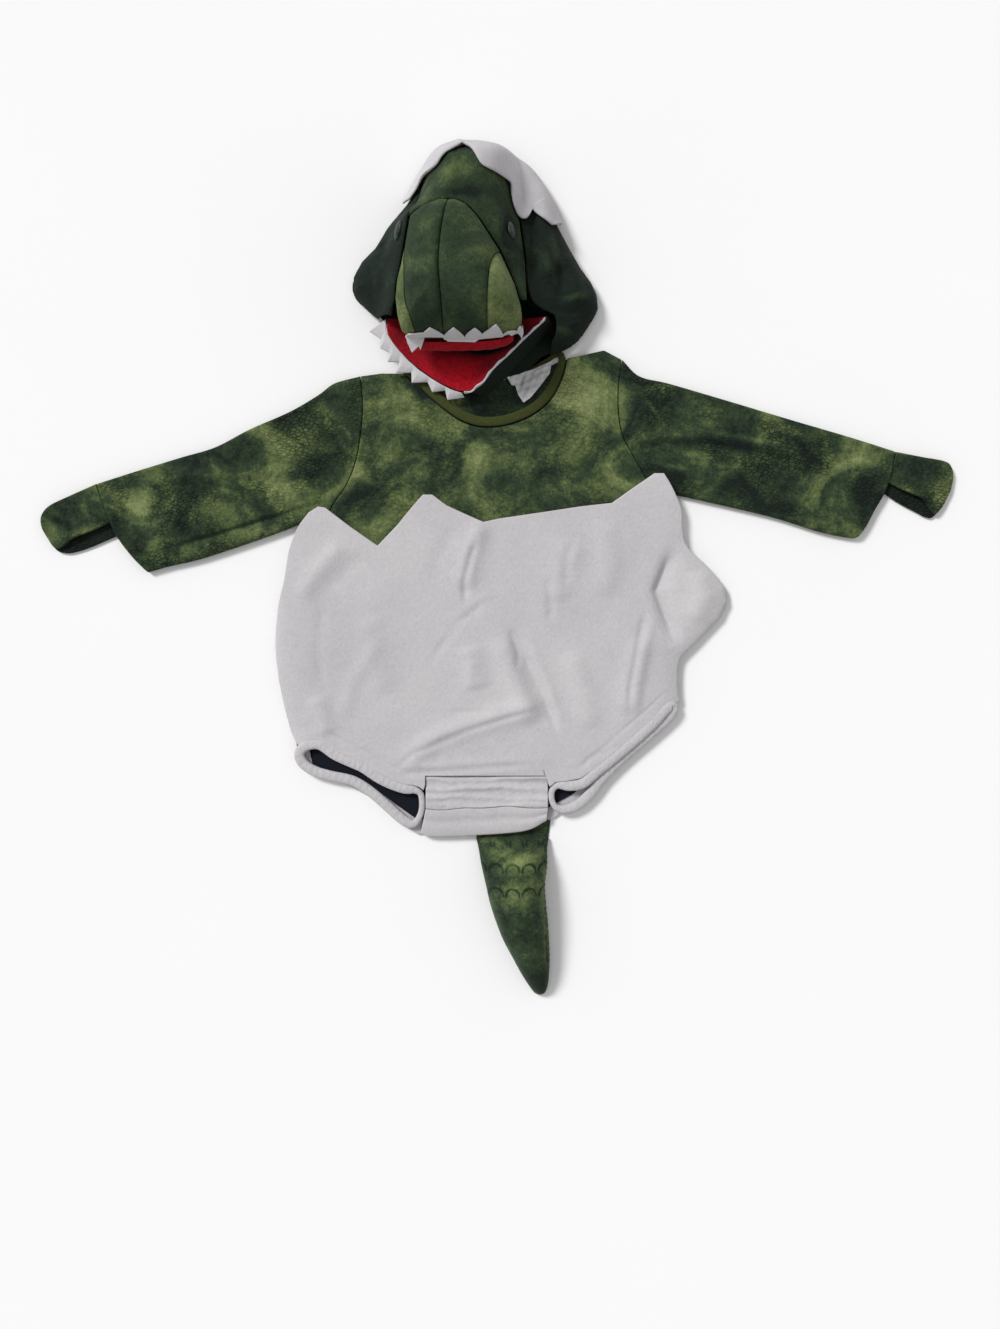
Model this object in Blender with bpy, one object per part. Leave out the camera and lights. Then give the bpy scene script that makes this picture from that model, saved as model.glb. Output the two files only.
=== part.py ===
"""A baby's hatching t-rex costume, laid flat on its back and seen from above.

X runs to the right as seen, Y towards the hood and Z up off the surface that it lies on.
Tables are in millimetres. The meshes are written in metres.
"""

import math

import bmesh
import bpy
import numpy as np

MM = 0.001

# Seam gap between neighbours, and the thickness of each cloth
SEAM = 0.4
VELOUR = 2.0
FLEECE = 2.8
BACK_FLEECE = 2.6
LINING = 1.0
HOOD_CLOTH = 2.2
CAP_CLOTH = 2.4
CAP_GAP = 2.4

# How high the layers lie on each other
FRONT_YOKE_EDGE = 2.4
FRONT_YOKE_RISE = 2.2
FRONT_SHELL_EDGE = 3.0
FRONT_SHELL_RISE = 5.4
LINING_BOTTOM = 2.95
SLEEVE_HEIGHT = 6.8
HOOD_EDGE = 2.4
HOOD_RISE = 27.6
FACE_HEIGHT = 66.0
NAPE_LIFT = 4.0
SNOUT_RIM = 47.0
SNOUT_BROW = 61.0
SNOUT_HEIGHT = 92.0
SNOUT_UNDER = 31.0

# What brings the middle of the box that holds it all to X = 0, Y = 0
TO_MIDDLE = (-0.18, 3.54, 0.0)

# Colour, roughness and metallic value of each cloth
FINISHES = {
    "velour": ((0.060, 0.110, 0.040), 0.90, 0.0),
    "dark velour": ((0.022, 0.042, 0.020), 0.90, 0.0),
    "light velour": ((0.170, 0.220, 0.060), 0.90, 0.0),
    "fleece": ((0.520, 0.505, 0.515), 0.95, 0.0),
    "lining": ((0.007, 0.009, 0.014), 0.90, 0.0),
    "rib": ((0.060, 0.070, 0.018), 0.85, 0.0),
    "satin": ((0.600, 0.590, 0.600), 0.45, 0.0),
    "red pile": ((0.400, 0.008, 0.018), 0.90, 0.0),
    "felt": ((0.600, 0.580, 0.600), 0.95, 0.0),
    "glossy plastic": ((0.020, 0.030, 0.022), 0.20, 0.0),
}
# What each piece is made of, by the start of its name
MADE_OF = (
    ("back_yoke", "dark velour"), ("hood_back", "dark velour"), ("jaw_outer", "dark velour"),
    ("hood_crown", "velour"), ("hood", "dark velour"), ("snout_side", "light velour"),
    ("front_shell", "fleece"), ("back_shell", "fleece"), ("crotch", "fleece"), ("leg_binding", "fleece"),
    ("shell_cap", "fleece"), ("seat_lining", "lining"), ("neck_binding", "rib"), ("neck_label", "satin"),
    ("palate", "red pile"), ("jaw_lining", "red pile"), ("upper_teeth", "felt"), ("lower_teeth", "felt"),
    ("eye", "glossy plastic"), ("", "velour"),
)
SHARP_FROM = math.radians(50)

for old in list(bpy.data.objects):
    bpy.data.objects.remove(old)

costume = bpy.data.objects.new("costume", None)
costume.location = tuple(MM * k for k in TO_MIDDLE)
costume.empty_display_size = 0.05
bpy.context.scene.collection.objects.link(costume)


# Numbers from shapes

def quarter_round(t):
    """0 at t = 0 and 1 from t = 1 on, rising like a quarter of a circle."""
    return np.sqrt(1.0 - (1.0 - np.clip(t, 0.0, 1.0)) ** 2)


def soft_round(t):
    """0 at t = 0 and 1 from t = 1 on, rising like a quarter of a sine."""
    return np.sin(0.5 * np.pi * np.clip(t, 0.0, 1.0))


def soft_step(t):
    """0 up to t = 0, 1 from t = 1 on, level at both."""
    t = np.clip(t, 0.0, 1.0)
    return t * t * (3.0 - 2.0 * t)


def spread(points, count, closed=False, crowd=1.0):
    """count points on straight lines between the given ones, closer at their start if crowd is over 1."""
    points = np.asarray(points, float)
    if closed:
        points = np.vstack([points, points[:1]])
    along = np.concatenate([[0.0], np.cumsum(np.linalg.norm(np.diff(points[:, :2], axis=0), axis=1))])
    wanted = along[-1] * np.linspace(0.0, 1.0, count, endpoint=not closed) ** crowd
    return np.column_stack([np.interp(wanted, along, points[:, k]) for k in range(points.shape[1])])


def smooth(points, count, closed=False, crowd=1.0):
    """count points along a rounded curve through the given ones, closer at its start if crowd is over 1."""
    points = np.asarray(points, float)
    if closed:
        padded = np.vstack([points[-1:], points, points[:2]])
    else:
        padded = np.vstack([2 * points[0] - points[1], points, 2 * points[-1] - points[-2]])
    t = np.linspace(0.0, 1.0, 12, endpoint=False)[:, None]
    spans = []
    for a, b, c, d in zip(padded[:-3], padded[1:-2], padded[2:-1], padded[3:]):
        square, cube = 2 * a - 5 * b + 4 * c - d, 3 * b - a - 3 * c + d
        spans.append(0.5 * (2 * b + (c - a) * t + square * t**2 + cube * t**3))
    dense = np.vstack(spans) if closed else np.vstack(spans + [points[-1:]])
    return spread(dense, count, closed, crowd)


def cornered(points, count):
    """count points along straight lines that keeps every given corner."""
    points = np.asarray(points, float)
    lengths = np.linalg.norm(np.diff(points, axis=0), axis=1)
    steps = np.ones(len(lengths), int)
    while steps.sum() < count - 1:
        steps[np.argmax(lengths / steps)] += 1
    parts = [a + (b - a) * np.linspace(0, 1, n, endpoint=False)[:, None] for a, b,
        n in zip(points, points[1:], steps)]
    return np.vstack(parts + [points[-1:]])


def patch(low, high, left, right, crowd=1.0):
    """A grid of plan points filling four curves that share ends, crowd being that of left and right."""
    u = np.linspace(0.0, 1.0, len(low))[:, None, None]
    v = (np.linspace(0.0, 1.0, len(left)) ** crowd)[None, :, None]
    ends = (1 - u) * (1 - v) * low[0] + u * (1 - v) * low[-1] + (1 - u) * v * high[0] + u * v * high[-1]
    across = (1 - v) * low[:, None] + v * high[:, None]
    along = (1 - u) * left[None] + u * right[None]
    return across + along - ends


def strip(first, second, count, crowd=1.0):
    """A grid of count columns of plan points between two curves, closer at the first if crowd is over 1."""
    t = (np.linspace(0.0, 1.0, count) ** crowd)[None, :, None]
    return first[:, None] * (1 - t) + second[:, None] * t


def line_distance(x, y, line, closed=False):
    """Distance in plan to a line of points, and how far along it the nearest place is, 0 to 1."""
    line = np.asarray(line, float)
    if closed:
        line = np.vstack([line, line[:1]])
    a, b = line[:-1, :2], line[1:, :2]
    step = b - a
    length = np.linalg.norm(step, axis=1)
    start = np.concatenate([[0.0], np.cumsum(length)[:-1]])
    px, py = x[..., None] - a[:, 0], y[..., None] - a[:, 1]
    t = np.clip((px * step[:, 0] + py * step[:, 1]) / np.maximum(length**2, 1e-9), 0.0, 1.0)
    away = np.hypot(px - t * step[:, 0], py - t * step[:, 1])
    nearest = away.argmin(axis=-1)[..., None]
    place = np.take_along_axis(start + t * length, nearest, -1)[..., 0] / length.sum()
    return np.take_along_axis(away, nearest, -1)[..., 0], place


def depth_inside(x, y, outline):
    """How deep a plan point lies inside a closed outline, 0 outside it."""
    away, _ = line_distance(x, y, outline, closed=True)
    a = np.asarray(outline, float)
    b = np.roll(a, -1, axis=0)
    crosses = (a[:, 1] > y[..., None]) != (b[:, 1] > y[..., None])
    rise = np.where(a[:, 1] == b[:, 1], 1.0, b[:, 1] - a[:, 1])
    at = a[:, 0] + (y[..., None] - a[:, 1]) * (b[:, 0] - a[:, 0]) / rise
    inside = (crosses & (x[..., None] < at)).sum(axis=-1) % 2 == 1
    return np.where(inside, away, 0.0)


def folds(x, y, table):
    """Height that soft ridges (height above 0) and troughs (below 0) add."""
    total = np.zeros_like(x)
    for line, width, height in table:
        away, place = line_distance(x, y, line)
        ends = soft_step(4 * place + 0.25) * soft_step(4.25 - 4 * place)
        total += height * np.exp(-((away / width) ** 2)) * ends
    return total


# Meshes from grids

def finish(name):
    """The material of the piece of that name."""
    made_of = next(cloth for start, cloth in MADE_OF if name.startswith(start))
    colour, roughness, metallic = FINISHES[made_of]
    material = bpy.data.materials.new(f"{name} {made_of}")
    material.use_nodes = True
    shader = material.node_tree.nodes["Principled BSDF"]
    shader.inputs["Base Color"].default_value = (*colour, 1.0)
    shader.inputs["Roughness"].default_value = roughness
    shader.inputs["Metallic"].default_value = metallic
    return material


def mesh_object(name, points, faces):
    """One closed piece, its faces turned outwards and its origin under the middle of its box."""
    points = np.asarray(points, float)
    low, high = points.min(axis=0), points.max(axis=0)
    origin = np.round(np.array([0.5 * (low[0] + high[0]), 0.5 * (low[1] + high[1]), low[2]]), 1)
    data = bpy.data.meshes.new(name)
    data.from_pydata(((points - origin) * MM).tolist(), [], faces)
    work = bmesh.new()
    work.from_mesh(data)
    bmesh.ops.recalc_face_normals(work, faces=work.faces)
    work.to_mesh(data)
    work.free()
    data.shade_smooth()
    data.set_sharp_from_angle(angle=SHARP_FROM)
    data.materials.append(finish(name))
    thing = bpy.data.objects.new(name, data)
    thing.parent = costume
    thing.location = tuple(MM * k for k in origin)
    bpy.context.scene.collection.objects.link(thing)
    return thing


def grid_faces(rows, columns, start, wrap_rows=False, wrap_columns=False):
    """Quads between the points of a grid, whose rows or columns may close on themselves."""
    faces = []
    for i in range(rows if wrap_rows else rows - 1):
        for j in range(columns if wrap_columns else columns - 1):
            k, m = (i + 1) % rows, (j + 1) % columns
            faces.append([start + i * columns + j, start + k * columns + j, start + k * columns + m,
                start + i * columns + m])
    return faces


def sheet(name, top, bottom):
    """A closed piece of cloth between two grids of the same size."""
    rows, columns = top.shape[:2]
    count = rows * columns
    index = np.arange(count).reshape(rows, columns)
    rim = np.concatenate([index[:, 0], index[-1, 1:], index[-2::-1, -1], index[0, -2:0:-1]])
    faces = grid_faces(rows, columns, 0) + grid_faces(rows, columns, count)
    for a, b in zip(rim, np.roll(rim, -1)):
        faces.append([int(a), int(b), int(b) + count, int(a) + count])
    return mesh_object(name, np.vstack([top.reshape(-1, 3), bottom.reshape(-1, 3)]), faces)


def lying_sheet(name, plan, under, thickness):
    """Cloth whose underside is at height under over each plan point."""
    low = np.dstack([plan, under])
    high = np.dstack([plan, under + thickness])
    return sheet(name, high, low)


def slab(name, outline, bottom, top):
    """Flat cloth of one outline."""
    outline = np.asarray(outline, float)
    count = len(outline)
    low = np.column_stack([outline, np.full(count, bottom)])
    high = np.column_stack([outline, np.full(count, top)])
    faces = [list(range(count)), list(range(count, 2 * count))]
    for i in range(count):
        k = (i + 1) % count
        faces.append([i, k, k + count, i + count])
    return mesh_object(name, np.vstack([low, high]), faces)


def loft(name, rings, closed=False):
    """A skin over rings of points, its two ends filled unless it closes on itself."""
    rings = np.asarray(rings)
    rows, columns = rings.shape[:2]
    faces = grid_faces(rows, columns, 0, wrap_rows=closed, wrap_columns=True)
    if not closed:
        faces += [list(range(columns)), list(range((rows - 1) * columns, rows * columns))]
    return mesh_object(name, rings.reshape(-1, 3), faces)


def cord(name, path, half_width, half_height, sides=8):
    """A closed roll of cloth along a closed path of x, y, z."""
    ahead = np.roll(path, -1, axis=0) - np.roll(path, 1, axis=0)
    across = np.column_stack([-ahead[:, 1], ahead[:, 0]])
    across /= np.linalg.norm(across, axis=1)[:, None]
    turn = 2 * np.pi * (np.arange(sides) + 0.5) / sides
    wide = np.broadcast_to(half_width, len(path))[:, None] * np.cos(turn)
    tall = np.broadcast_to(half_height, len(path))[:, None] * np.sin(turn)
    rings = np.dstack([
        path[:, :1] + across[:, :1] * wide,
        path[:, 1:2] + across[:, 1:] * wide,
        path[:, 2:] + tall,
    ])
    return loft(name, rings, closed=True)


def on_surface(plan, height, step=0.6):
    """Points of a height function over a plan, and the directions that stand off it."""
    x, y = plan[..., 0], plan[..., 1]
    slope_x = (height(x + step, y) - height(x - step, y)) / (2 * step)
    slope_y = (height(x, y + step) - height(x, y - step)) / (2 * step)
    off = np.dstack([-slope_x, -slope_y, np.ones_like(x)])
    return np.dstack([plan, height(x, y)]), off / np.linalg.norm(off, axis=2)[..., None]


def domed_sheet(name, plan, height, above, below, floor=None):
    """Cloth of even thickness over a curved form, from below to above it."""
    points, off = on_surface(plan, height)
    top, bottom = points + off * above, points + off * below
    if floor is not None:
        least = floor(plan[..., 0], plan[..., 1])
        top[..., 2] = np.maximum(top[..., 2], least + 0.8)
        bottom[..., 2] = np.maximum(bottom[..., 2], least)
    return sheet(name, top, bottom)


# Egg-shell romper

SHELL_LEFT = [
    (-166, -147), (-172, -138), (-179, -119), (-184, -95), (-187, -66), (-185, -36), (-179, -10),
    (-175, 13), (-169, 30),
]
SHELL_RIGHT = [
    (154, -111), (153, -100), (155, -77), (172, -60), (189, -42), (195, -29), (193, -17), (179, 0),
    (161, 17), (157, 31), (156, 48), (151, 61), (146, 71), (141, 79),
]
SHELL_TOP = [
    (-169, 30), (-165, 37), (-158, 46), (-150, 51), (-144, 50), (-123, 34), (-100, 18), (-83, 36),
    (-70, 52), (-62, 61), (-54, 61), (-42, 52), (-29, 46), (-11, 38), (3, 41), (37, 46), (70, 51),
    (97, 54), (114, 66), (133, 79), (141, 79),
]
SHELL_BOTTOM = [
    (-166, -147), (-150, -143), (-134, -152), (-121, -158), (-110, -163.5), (-98, -171), (-87, -176.5),
    (-76, -180.5), (-67, -180), (-62, -175.6), (-30, -175.6), (10, -175.6), (44, -175.6), (50, -177),
    (60, -180), (70, -177.3), (82, -167.3), (105, -148.2), (130, -126.6), (143, -114), (154, -111),
]
# The outline that the front's height is worked out from: it leaves the jagged edge and the leg hems out
CROWN = SHELL_LEFT[1:6] + [
    (-184, -15), (-186, 10), (-192, 45), (-195, 130), (190, 130), (178, 70), (170, 45), (166, 25),
    (180, 1), (193, -17), (195, -29), (189, -42), (172, -60), (156, -77), (155, -100), (156, -118),
    (160, -230), (-166, -230), (-170, -150),
]
SHELL_FOLDS = (
    ([(-11, 39), (-22, 11), (-27, -19)], 8, 3.2),
    ([(-36, 34), (-48, 8), (-52, -14)], 8, -0.9),
    ([(14, -50), (26, -87), (45, -133)], 6, -2.4),
    ([(2, -58), (13, -92), (30, -134)], 9, 3.2),
    ([(67, 24), (54, -10), (50, -30)], 11, 2.4),
    ([(-24, -66), (-14, -104)], 10, 2.2),
    ([(-82, -168), (-48, -142), (3, -126), (41, -114)], 9, 3.6),
    ([(-78, -172), (-10, -168), (45, -165)], 6, 2.2),
    ([(122, -58), (113, -100), (111, -125)], 9, 3.0),
    ([(-129, 20), (-150, -4), (-166, -27)], 8, 2.4),
    ([(-112, 11), (-128, -6), (-141, -19)], 7, -1.0),
    ([(150, 16), (138, -18), (143, -42), (152, -66)], 7, -3.6),
    ([(170, -2), (176, -24), (166, -48)], 11, 2.6),
    ([(-152, -108), (-141, -142)], 8, 2.4),
    ([(88, 40), (96, 4), (90, -26)], 10, 2.0),
    ([(-110, -40), (-104, -78), (-92, -108)], 12, 1.8),
    ([(62, -70), (74, -108), (82, -136)], 10, 2.0),
)


def shell_under(x, y):
    """Underside of the romper's front."""
    rise = FRONT_SHELL_RISE * quarter_round(depth_inside(x, y, CROWN) / 26.0)
    sunk = rise * soft_step(rise / FRONT_SHELL_RISE)
    return FRONT_SHELL_EDGE + rise + folds(x, y, SHELL_FOLDS) * sunk / FRONT_SHELL_RISE


BACK_SEAM = [
    (-169.5, 28), (-143, 37), (-125, 16), (-96, 54), (-58, 24), (-14, 58), (30, 24), (66, 57), (100, 26),
    (131, 58), (150, 54),
]
BACK_HEM = [
    (156, 44), (156.5, 30), (161, 16), (178, 0), (192, -17), (194, -29), (188, -42), (171, -60),
    (154.5, -76), (152, -101), (152, -118), (138, -135), (112, -155), (90, -175), (77, -188), (68, -200),
    (55, -208), (47, -213.5), (-21, -213.5), (-21, -225), (-54, -226), (-67, -226), (-81, -217),
    (-94, -205), (-110, -193), (-125, -185), (-140, -180), (-157, -176), (-165, -168), (-166, -154),
    (-171, -140), (-178, -119), (-183, -95), (-186, -66), (-184, -36), (-178, -10), (-174, 13),
]
SEAT_LINING = [
    (-162, 5), (-60, 9), (60, 9), (140, 5), (141, -60), (141, -98), (126, -127), (98, -151), (80, -172),
    (66, -191), (44, -203), (-40, -206), (-66, -214), (-86, -200), (-104, -186), (-124, -178),
    (-144, -172), (-156, -166), (-156, -140), (-170, -100), (-174, -60), (-170, -20),
]

slab("back_shell", BACK_SEAM + BACK_HEM, 0.0, BACK_FLEECE)
slab("seat_lining", SEAT_LINING, LINING_BOTTOM, LINING_BOTTOM + LINING)

shell_plan = patch(cornered(SHELL_BOTTOM, 36), cornered(SHELL_TOP, 36), smooth(SHELL_LEFT, 15),
    smooth(SHELL_RIGHT, 15))
lying_sheet("front_shell", shell_plan, shell_under(shell_plan[..., 0], shell_plan[..., 1]), FLEECE)

# Leg bindings: x, y and height of the middle of the roll, all round each opening
LEG_LEFT = [
    (-149, -149, 9.4), (-136, -158, 9.6), (-123, -164, 9.6), (-112, -169, 9.6), (-100, -177, 9.6),
    (-89, -182.5, 9.6), (-77, -186.5, 9.4), (-69, -188, 8.8), (-66, -197, 7.6), (-68, -208, 6.8),
    (-74, -217, 6.5), (-84, -209, 6.5), (-95, -199, 6.5), (-108, -188, 6.5), (-122, -180, 6.5),
    (-140, -176, 6.5), (-154, -171.5, 6.6), (-161, -163, 7.2), (-158, -153, 8.6),
]
LEG_RIGHT = [
    (54, -185, 8.8), (63, -185.4, 9.4), (73, -182, 9.6), (85, -172, 9.6), (108, -153, 9.6),
    (131, -132.5, 9.6), (143, -119.5, 9.4), (149, -117.5, 8.0), (146, -125.5, 6.8), (130, -140.5, 6.5),
    (109, -158.5, 6.5), (90, -177, 6.5), (79, -190, 6.5), (70, -199, 6.5), (60, -203.5, 6.6),
    (51.5, -200, 7.2), (50, -191, 8.2),
]
HEM_WIDTH = 4.4
HEM_HEIGHT = 2.2
cord("leg_binding_left", smooth(LEG_LEFT, 28, closed=True), HEM_WIDTH, HEM_HEIGHT)
cord("leg_binding_right", smooth(LEG_RIGHT, 25, closed=True), HEM_WIDTH, HEM_HEIGHT)

# Gathered crotch band, and the tab that turns under it
BAND_LEFT, BAND_RIGHT, BAND_TOP, BAND_LOW = -60.5, 44.5, -176.1, -203.0
GATHERS = (-178.5, -186.5, -194.5, -201.0)


def band_under(x, y):
    """Underside of the crotch band: a soft ridge at each row of elastic."""
    height = 6.4 + 0.0 * x
    for k, row in enumerate(GATHERS):
        wave = 0.8 * np.sin(0.11 * x + 1.7 * k)
        height += (1.7 - 0.25 * k) * np.exp(-(((y - row - wave) / 2.6) ** 2))
    return height


band_plan = strip(
    np.column_stack([np.linspace(BAND_LEFT, BAND_RIGHT, 14), np.full(14, BAND_TOP)]),
    np.column_stack([np.linspace(BAND_LEFT, BAND_RIGHT, 14), np.full(14, BAND_LOW)]), 12)
lying_sheet("crotch_band", band_plan, band_under(band_plan[..., 0], band_plan[..., 1]), 2.6)

TAB_TOP = [(-60.5, BAND_LOW - SEAM), (44.5, BAND_LOW - SEAM)]
TAB_LOW = [(-63, -225.5), (-54, -227.5), (-20, -226.5), (23, -223), (42.5, -214)]
tab_plan = strip(spread(TAB_TOP, 15), smooth(TAB_LOW, 15), 7)
tab_depth = np.linspace(0.0, 1.0, 7)[None, :] + 0.0 * tab_plan[..., 0]
tab_crease = 0.9 * np.exp(-(((tab_depth - 0.45) / 0.16) ** 2))
lying_sheet("crotch_tab", tab_plan, 3.3 + 3.4 * np.sqrt(1.0 - 0.94 * tab_depth**2) - tab_crease, 2.6)

# Stuffed tail: its place down the Y axis, its two edges and its height
TAIL = (
    # y, left, right, height
    (-214.0, -18, 46, 2.4),
    (-228.1, -17, 44, 2.6),
    (-229.6, -17, 44, 9.0),
    (-238.0, -15, 43, 21.0),
    (-250.0, -13, 43, 31.0),
    (-268.0, -9, 42, 37.0),
    (-285.0, -5, 42.5, 37.0),
    (-300.0, 0, 43.5, 34.0),
    (-315.0, 6, 44.5, 30.0),
    (-330.0, 14, 45, 25.0),
    (-343.0, 21, 44.5, 19.5),
    (-353.0, 27, 43.5, 13.5),
    (-359.5, 31.5, 41.5, 7.5),
    (-361.5, 34, 39.5, 4.0),
)


def tail_ring(y, left, right, height):
    """Flat below, round above."""
    angle = np.pi * np.arange(11) / 10
    middle, half = 0.5 * (left + right), 0.5 * (right - left)
    low = min(0.28 * height, 6.0)
    x = middle - half * np.cos(angle)
    z = low + (height - low) * np.sin(angle)
    foot_x = middle + half * np.array([0.82, 0.4, 0.0, -0.4, -0.82])
    return np.column_stack([np.concatenate([x, foot_x]), np.full(16, y), np.concatenate([z, np.zeros(5)])])


loft("tail", [tail_ring(*row) for row in TAIL])

# Top: yoke and sleeves

ARMHOLE_LEFT = [(-142, 44), (-137, 55), (-126, 71), (-118, 93), (-114, 119), (-113, 139), (-115, 162)]
ARMHOLE_RIGHT = [(130, 66), (126, 76), (115, 95), (106, 113), (103, 133), (103, 154), (106, 176)]
YOKE_LOW_LEFT = [(-150, -6), (-152, 12), (-149, 30)]
YOKE_LOW_RIGHT = [(132, -6), (135, 20), (134, 50)]
NECK_FRONT = [
    (-77.5, 162.5), (-73.8, 158.6), (-65.2, 151.2), (-54.4, 141), (-40, 129.6), (-28, 122.4),
    (-11.3, 118), (9.2, 119.8), (30.4, 128), (47, 142.5), (56.8, 162), (60, 177),
]
NECK_BACK = [(-77, 165), (-48, 159.5), (-10, 157.5), (28, 162.3), (54, 175.5)]


def yoke_under(x, y):
    """Underside of the yoke's front: folded at the shoulders, level elsewhere."""
    shoulders = [(-150, 163), (-115, 162), (-75, 166), (-40, 185), (20, 195), (58, 179), (75, 181),
        (91, 184), (106, 176), (150, 160)]
    away, _ = line_distance(x, y, shoulders)
    creases = folds(x, y, (
        ([(-100, 140), (-88, 112), (-80, 92)], 9, 1.3),
        ([(88, 150), (82, 120), (70, 100)], 9, 1.5),
        ([(-36, 108), (0, 100), (30, 106)], 8, 1.1),
    ))
    return FRONT_YOKE_EDGE + FRONT_YOKE_RISE * quarter_round(away / 20.0) + creases


yoke_left = np.vstack([spread(YOKE_LOW_LEFT, 3), smooth(ARMHOLE_LEFT, 10)])
yoke_right = np.vstack([spread(YOKE_LOW_RIGHT, 3), smooth(ARMHOLE_RIGHT, 10)])
yoke_left[:, 0] += SEAM
yoke_right[:, 0] -= SEAM
yoke_top = np.vstack([
    spread([yoke_left[-1], (-96, 164.5)], 3), smooth(NECK_FRONT, 20),
    spread([(76, 180.5), (91, 184), yoke_right[-1]], 4),
])
yoke_low = spread([yoke_left[0], yoke_right[0]], len(yoke_top))
yoke_plan = patch(yoke_low, yoke_top, yoke_left, yoke_right)
lying_sheet("front_yoke", yoke_plan, yoke_under(yoke_plan[..., 0], yoke_plan[..., 1]), VELOUR)

back_outline = (
    [(x + SEAM, y) for x, y in ARMHOLE_LEFT] + [(-94, 165)] + NECK_BACK + [(75, 180), (91, 184)]
    + [(x - SEAM, y) for x, y in reversed(ARMHOLE_RIGHT)]
    + [(x, y + 1.2) for x, y in reversed(BACK_SEAM[1:-1])]
)
slab("back_yoke", back_outline, 0.0, VELOUR)

# Neck binding: x, y and height of its middle, half its width and half its height
NECK_BINDING = (
    (-79, 169, 3.6, 3.0, 1.5), (-71, 162.5, 4.1, 3.5, 1.7), (-62, 155, 4.8, 3.8, 1.8),
    (-51, 145, 5.6, 4.0, 1.9), (-37, 134, 5.8, 4.0, 1.9), (-26, 127.3, 5.8, 4.0, 1.9),
    (-11, 123.3, 5.8, 4.0, 1.9), (8, 125, 5.8, 4.0, 1.9), (28, 132.8, 5.8, 4.0, 1.9),
    (43, 146, 5.6, 4.0, 1.9), (52, 164, 4.6, 3.6, 1.8), (55.5, 177, 3.9, 3.0, 1.6),
    (49, 181, 2.1, 3.0, 1.4), (28, 167.8, 1.7, 3.6, 1.5), (-10, 162.6, 1.7, 3.6, 1.5),
    (-48, 164.8, 1.7, 3.6, 1.5), (-72, 171, 2.2, 3.0, 1.5),
)
binding = smooth(NECK_BINDING, 40, closed=True)
cord("neck_binding", binding[:, :3], binding[:, 3], binding[:, 4])

LABEL_LOW = [(15, 153), (18, 143), (24, 138), (31, 144), (39, 156), (45, 164)]
LABEL_HIGH = [(10, 157), (14, 161), (22, 163.5), (30, 165.5), (40, 171), (47, 174)]
label_plan = strip(spread(LABEL_LOW, 8), spread(LABEL_HIGH, 8), 4)
label_rise = 3.9 * np.linspace(1.0, 0.0, 4)[None, :] ** 2 * np.linspace(0.0, 1.0, 8)[:, None] ** 0.5
lying_sheet("neck_label", label_plan, 2.4 + 0.25 * label_rise + np.where(label_plan[..., 1] > 158, 1.0,
    0.0), 0.5)


def around(width, inset, height, spare):
    """Where the points of a flattened ring lie: across its width, and up from the surface."""
    middle = 0.5 * SLEEVE_HEIGHT
    ease = np.array([0.0, 0.25, 1.0])
    left = inset + ease * spare
    inner = np.array([0.27, 0.42, 0.58, 0.73]) * width
    across = np.concatenate([left, inner, (width - left)[::-1]])
    up = 0.5 * height * quarter_round(np.minimum(across - inset, width - inset - across) / spare)
    return np.concatenate([across, across[-2:0:-1]]), np.concatenate([middle + up, (middle - up)[-2:0:-1]])


def bow(line, share):
    """How far a curve stands off the straight line between its ends, at shares of the way along it."""
    curve = smooth(line, 25)
    u = np.linspace(0.0, 1.0, 25)
    off = curve - (curve[:1] + (curve[-1:] - curve[:1]) * u[:, None])
    return np.column_stack([np.interp(share, u, off[:, 0]), np.interp(share, u, off[:, 1])])


def sleeve(name, top, bottom, armhole, cuff, creases, rows=13):
    """A flattened tube between its top and bottom edges, from armhole to cuff, open at both ends."""
    top, bottom = smooth(top, rows), smooth(bottom, rows)
    rings = []
    for k, (a, b) in enumerate(zip(top, bottom)):
        width = np.linalg.norm(b - a)
        near_armhole = max(0.0, 1.0 - 4.0 * k / (rows - 1))
        near_cuff = max(0.0, 1.0 - 4.0 * (rows - 1 - k) / (rows - 1))
        for inset, height, spare, wall in ((0.0, SLEEVE_HEIGHT, 3.4, "outer"),
            (VELOUR, SLEEVE_HEIGHT - 2 * VELOUR, 1.8, "inner")):
            across, up = around(width, inset, height, spare)
            share = across / width
            plan = a + (b - a) * share[:, None] + near_armhole * bow(armhole,
                share) + near_cuff * bow(cuff, share)
            upper = up > 0.5 * SLEEVE_HEIGHT
            lift = np.where(upper, folds(plan[:, 0], plan[:, 1], creases), 0.0)
            fade = np.minimum(across, width - across) / 8.0
            rings.append((wall, np.column_stack([plan, up + lift * np.clip(fade, 0, 1)])))
    outer = [ring for wall, ring in rings if wall == "outer"]
    inner = [ring for wall, ring in rings if wall == "inner"]
    return loft(name, outer + inner[::-1], closed=True)


SLEEVE_LEFT_TOP = [
    (-116, 162), (-137, 156), (-151, 146), (-175, 132), (-209, 117), (-238, 102), (-268, 93), (-310, 80),
    (-338, 71),
]
SLEEVE_LEFT_LOW = [
    (-143, 44), (-156, 40.5), (-167, 36.5), (-183, 30), (-217, 18), (-251, 7), (-277, 1), (-286, -1.5),
    (-295, -4),
]
SLEEVE_RIGHT_TOP = [
    (106.4, 176), (121, 162), (147, 155.5), (198, 140.5), (248, 125.5), (299, 110.5), (337, 98.5),
]
SLEEVE_RIGHT_LOW = [
    (130.4, 66), (143, 63), (156, 60.5), (172, 57), (232, 43), (274, 30), (300, 25), (306, 26),
]
CREASES_LEFT = (
    ([(-302, 70), (-240, 79), (-168, 80)], 7, 1.8),
    ([(-290, 13), (-230, 26), (-162, 46)], 6, -0.8),
    ([(-150, 132), (-160, 100), (-158, 66)], 8, 1.6),
)
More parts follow.
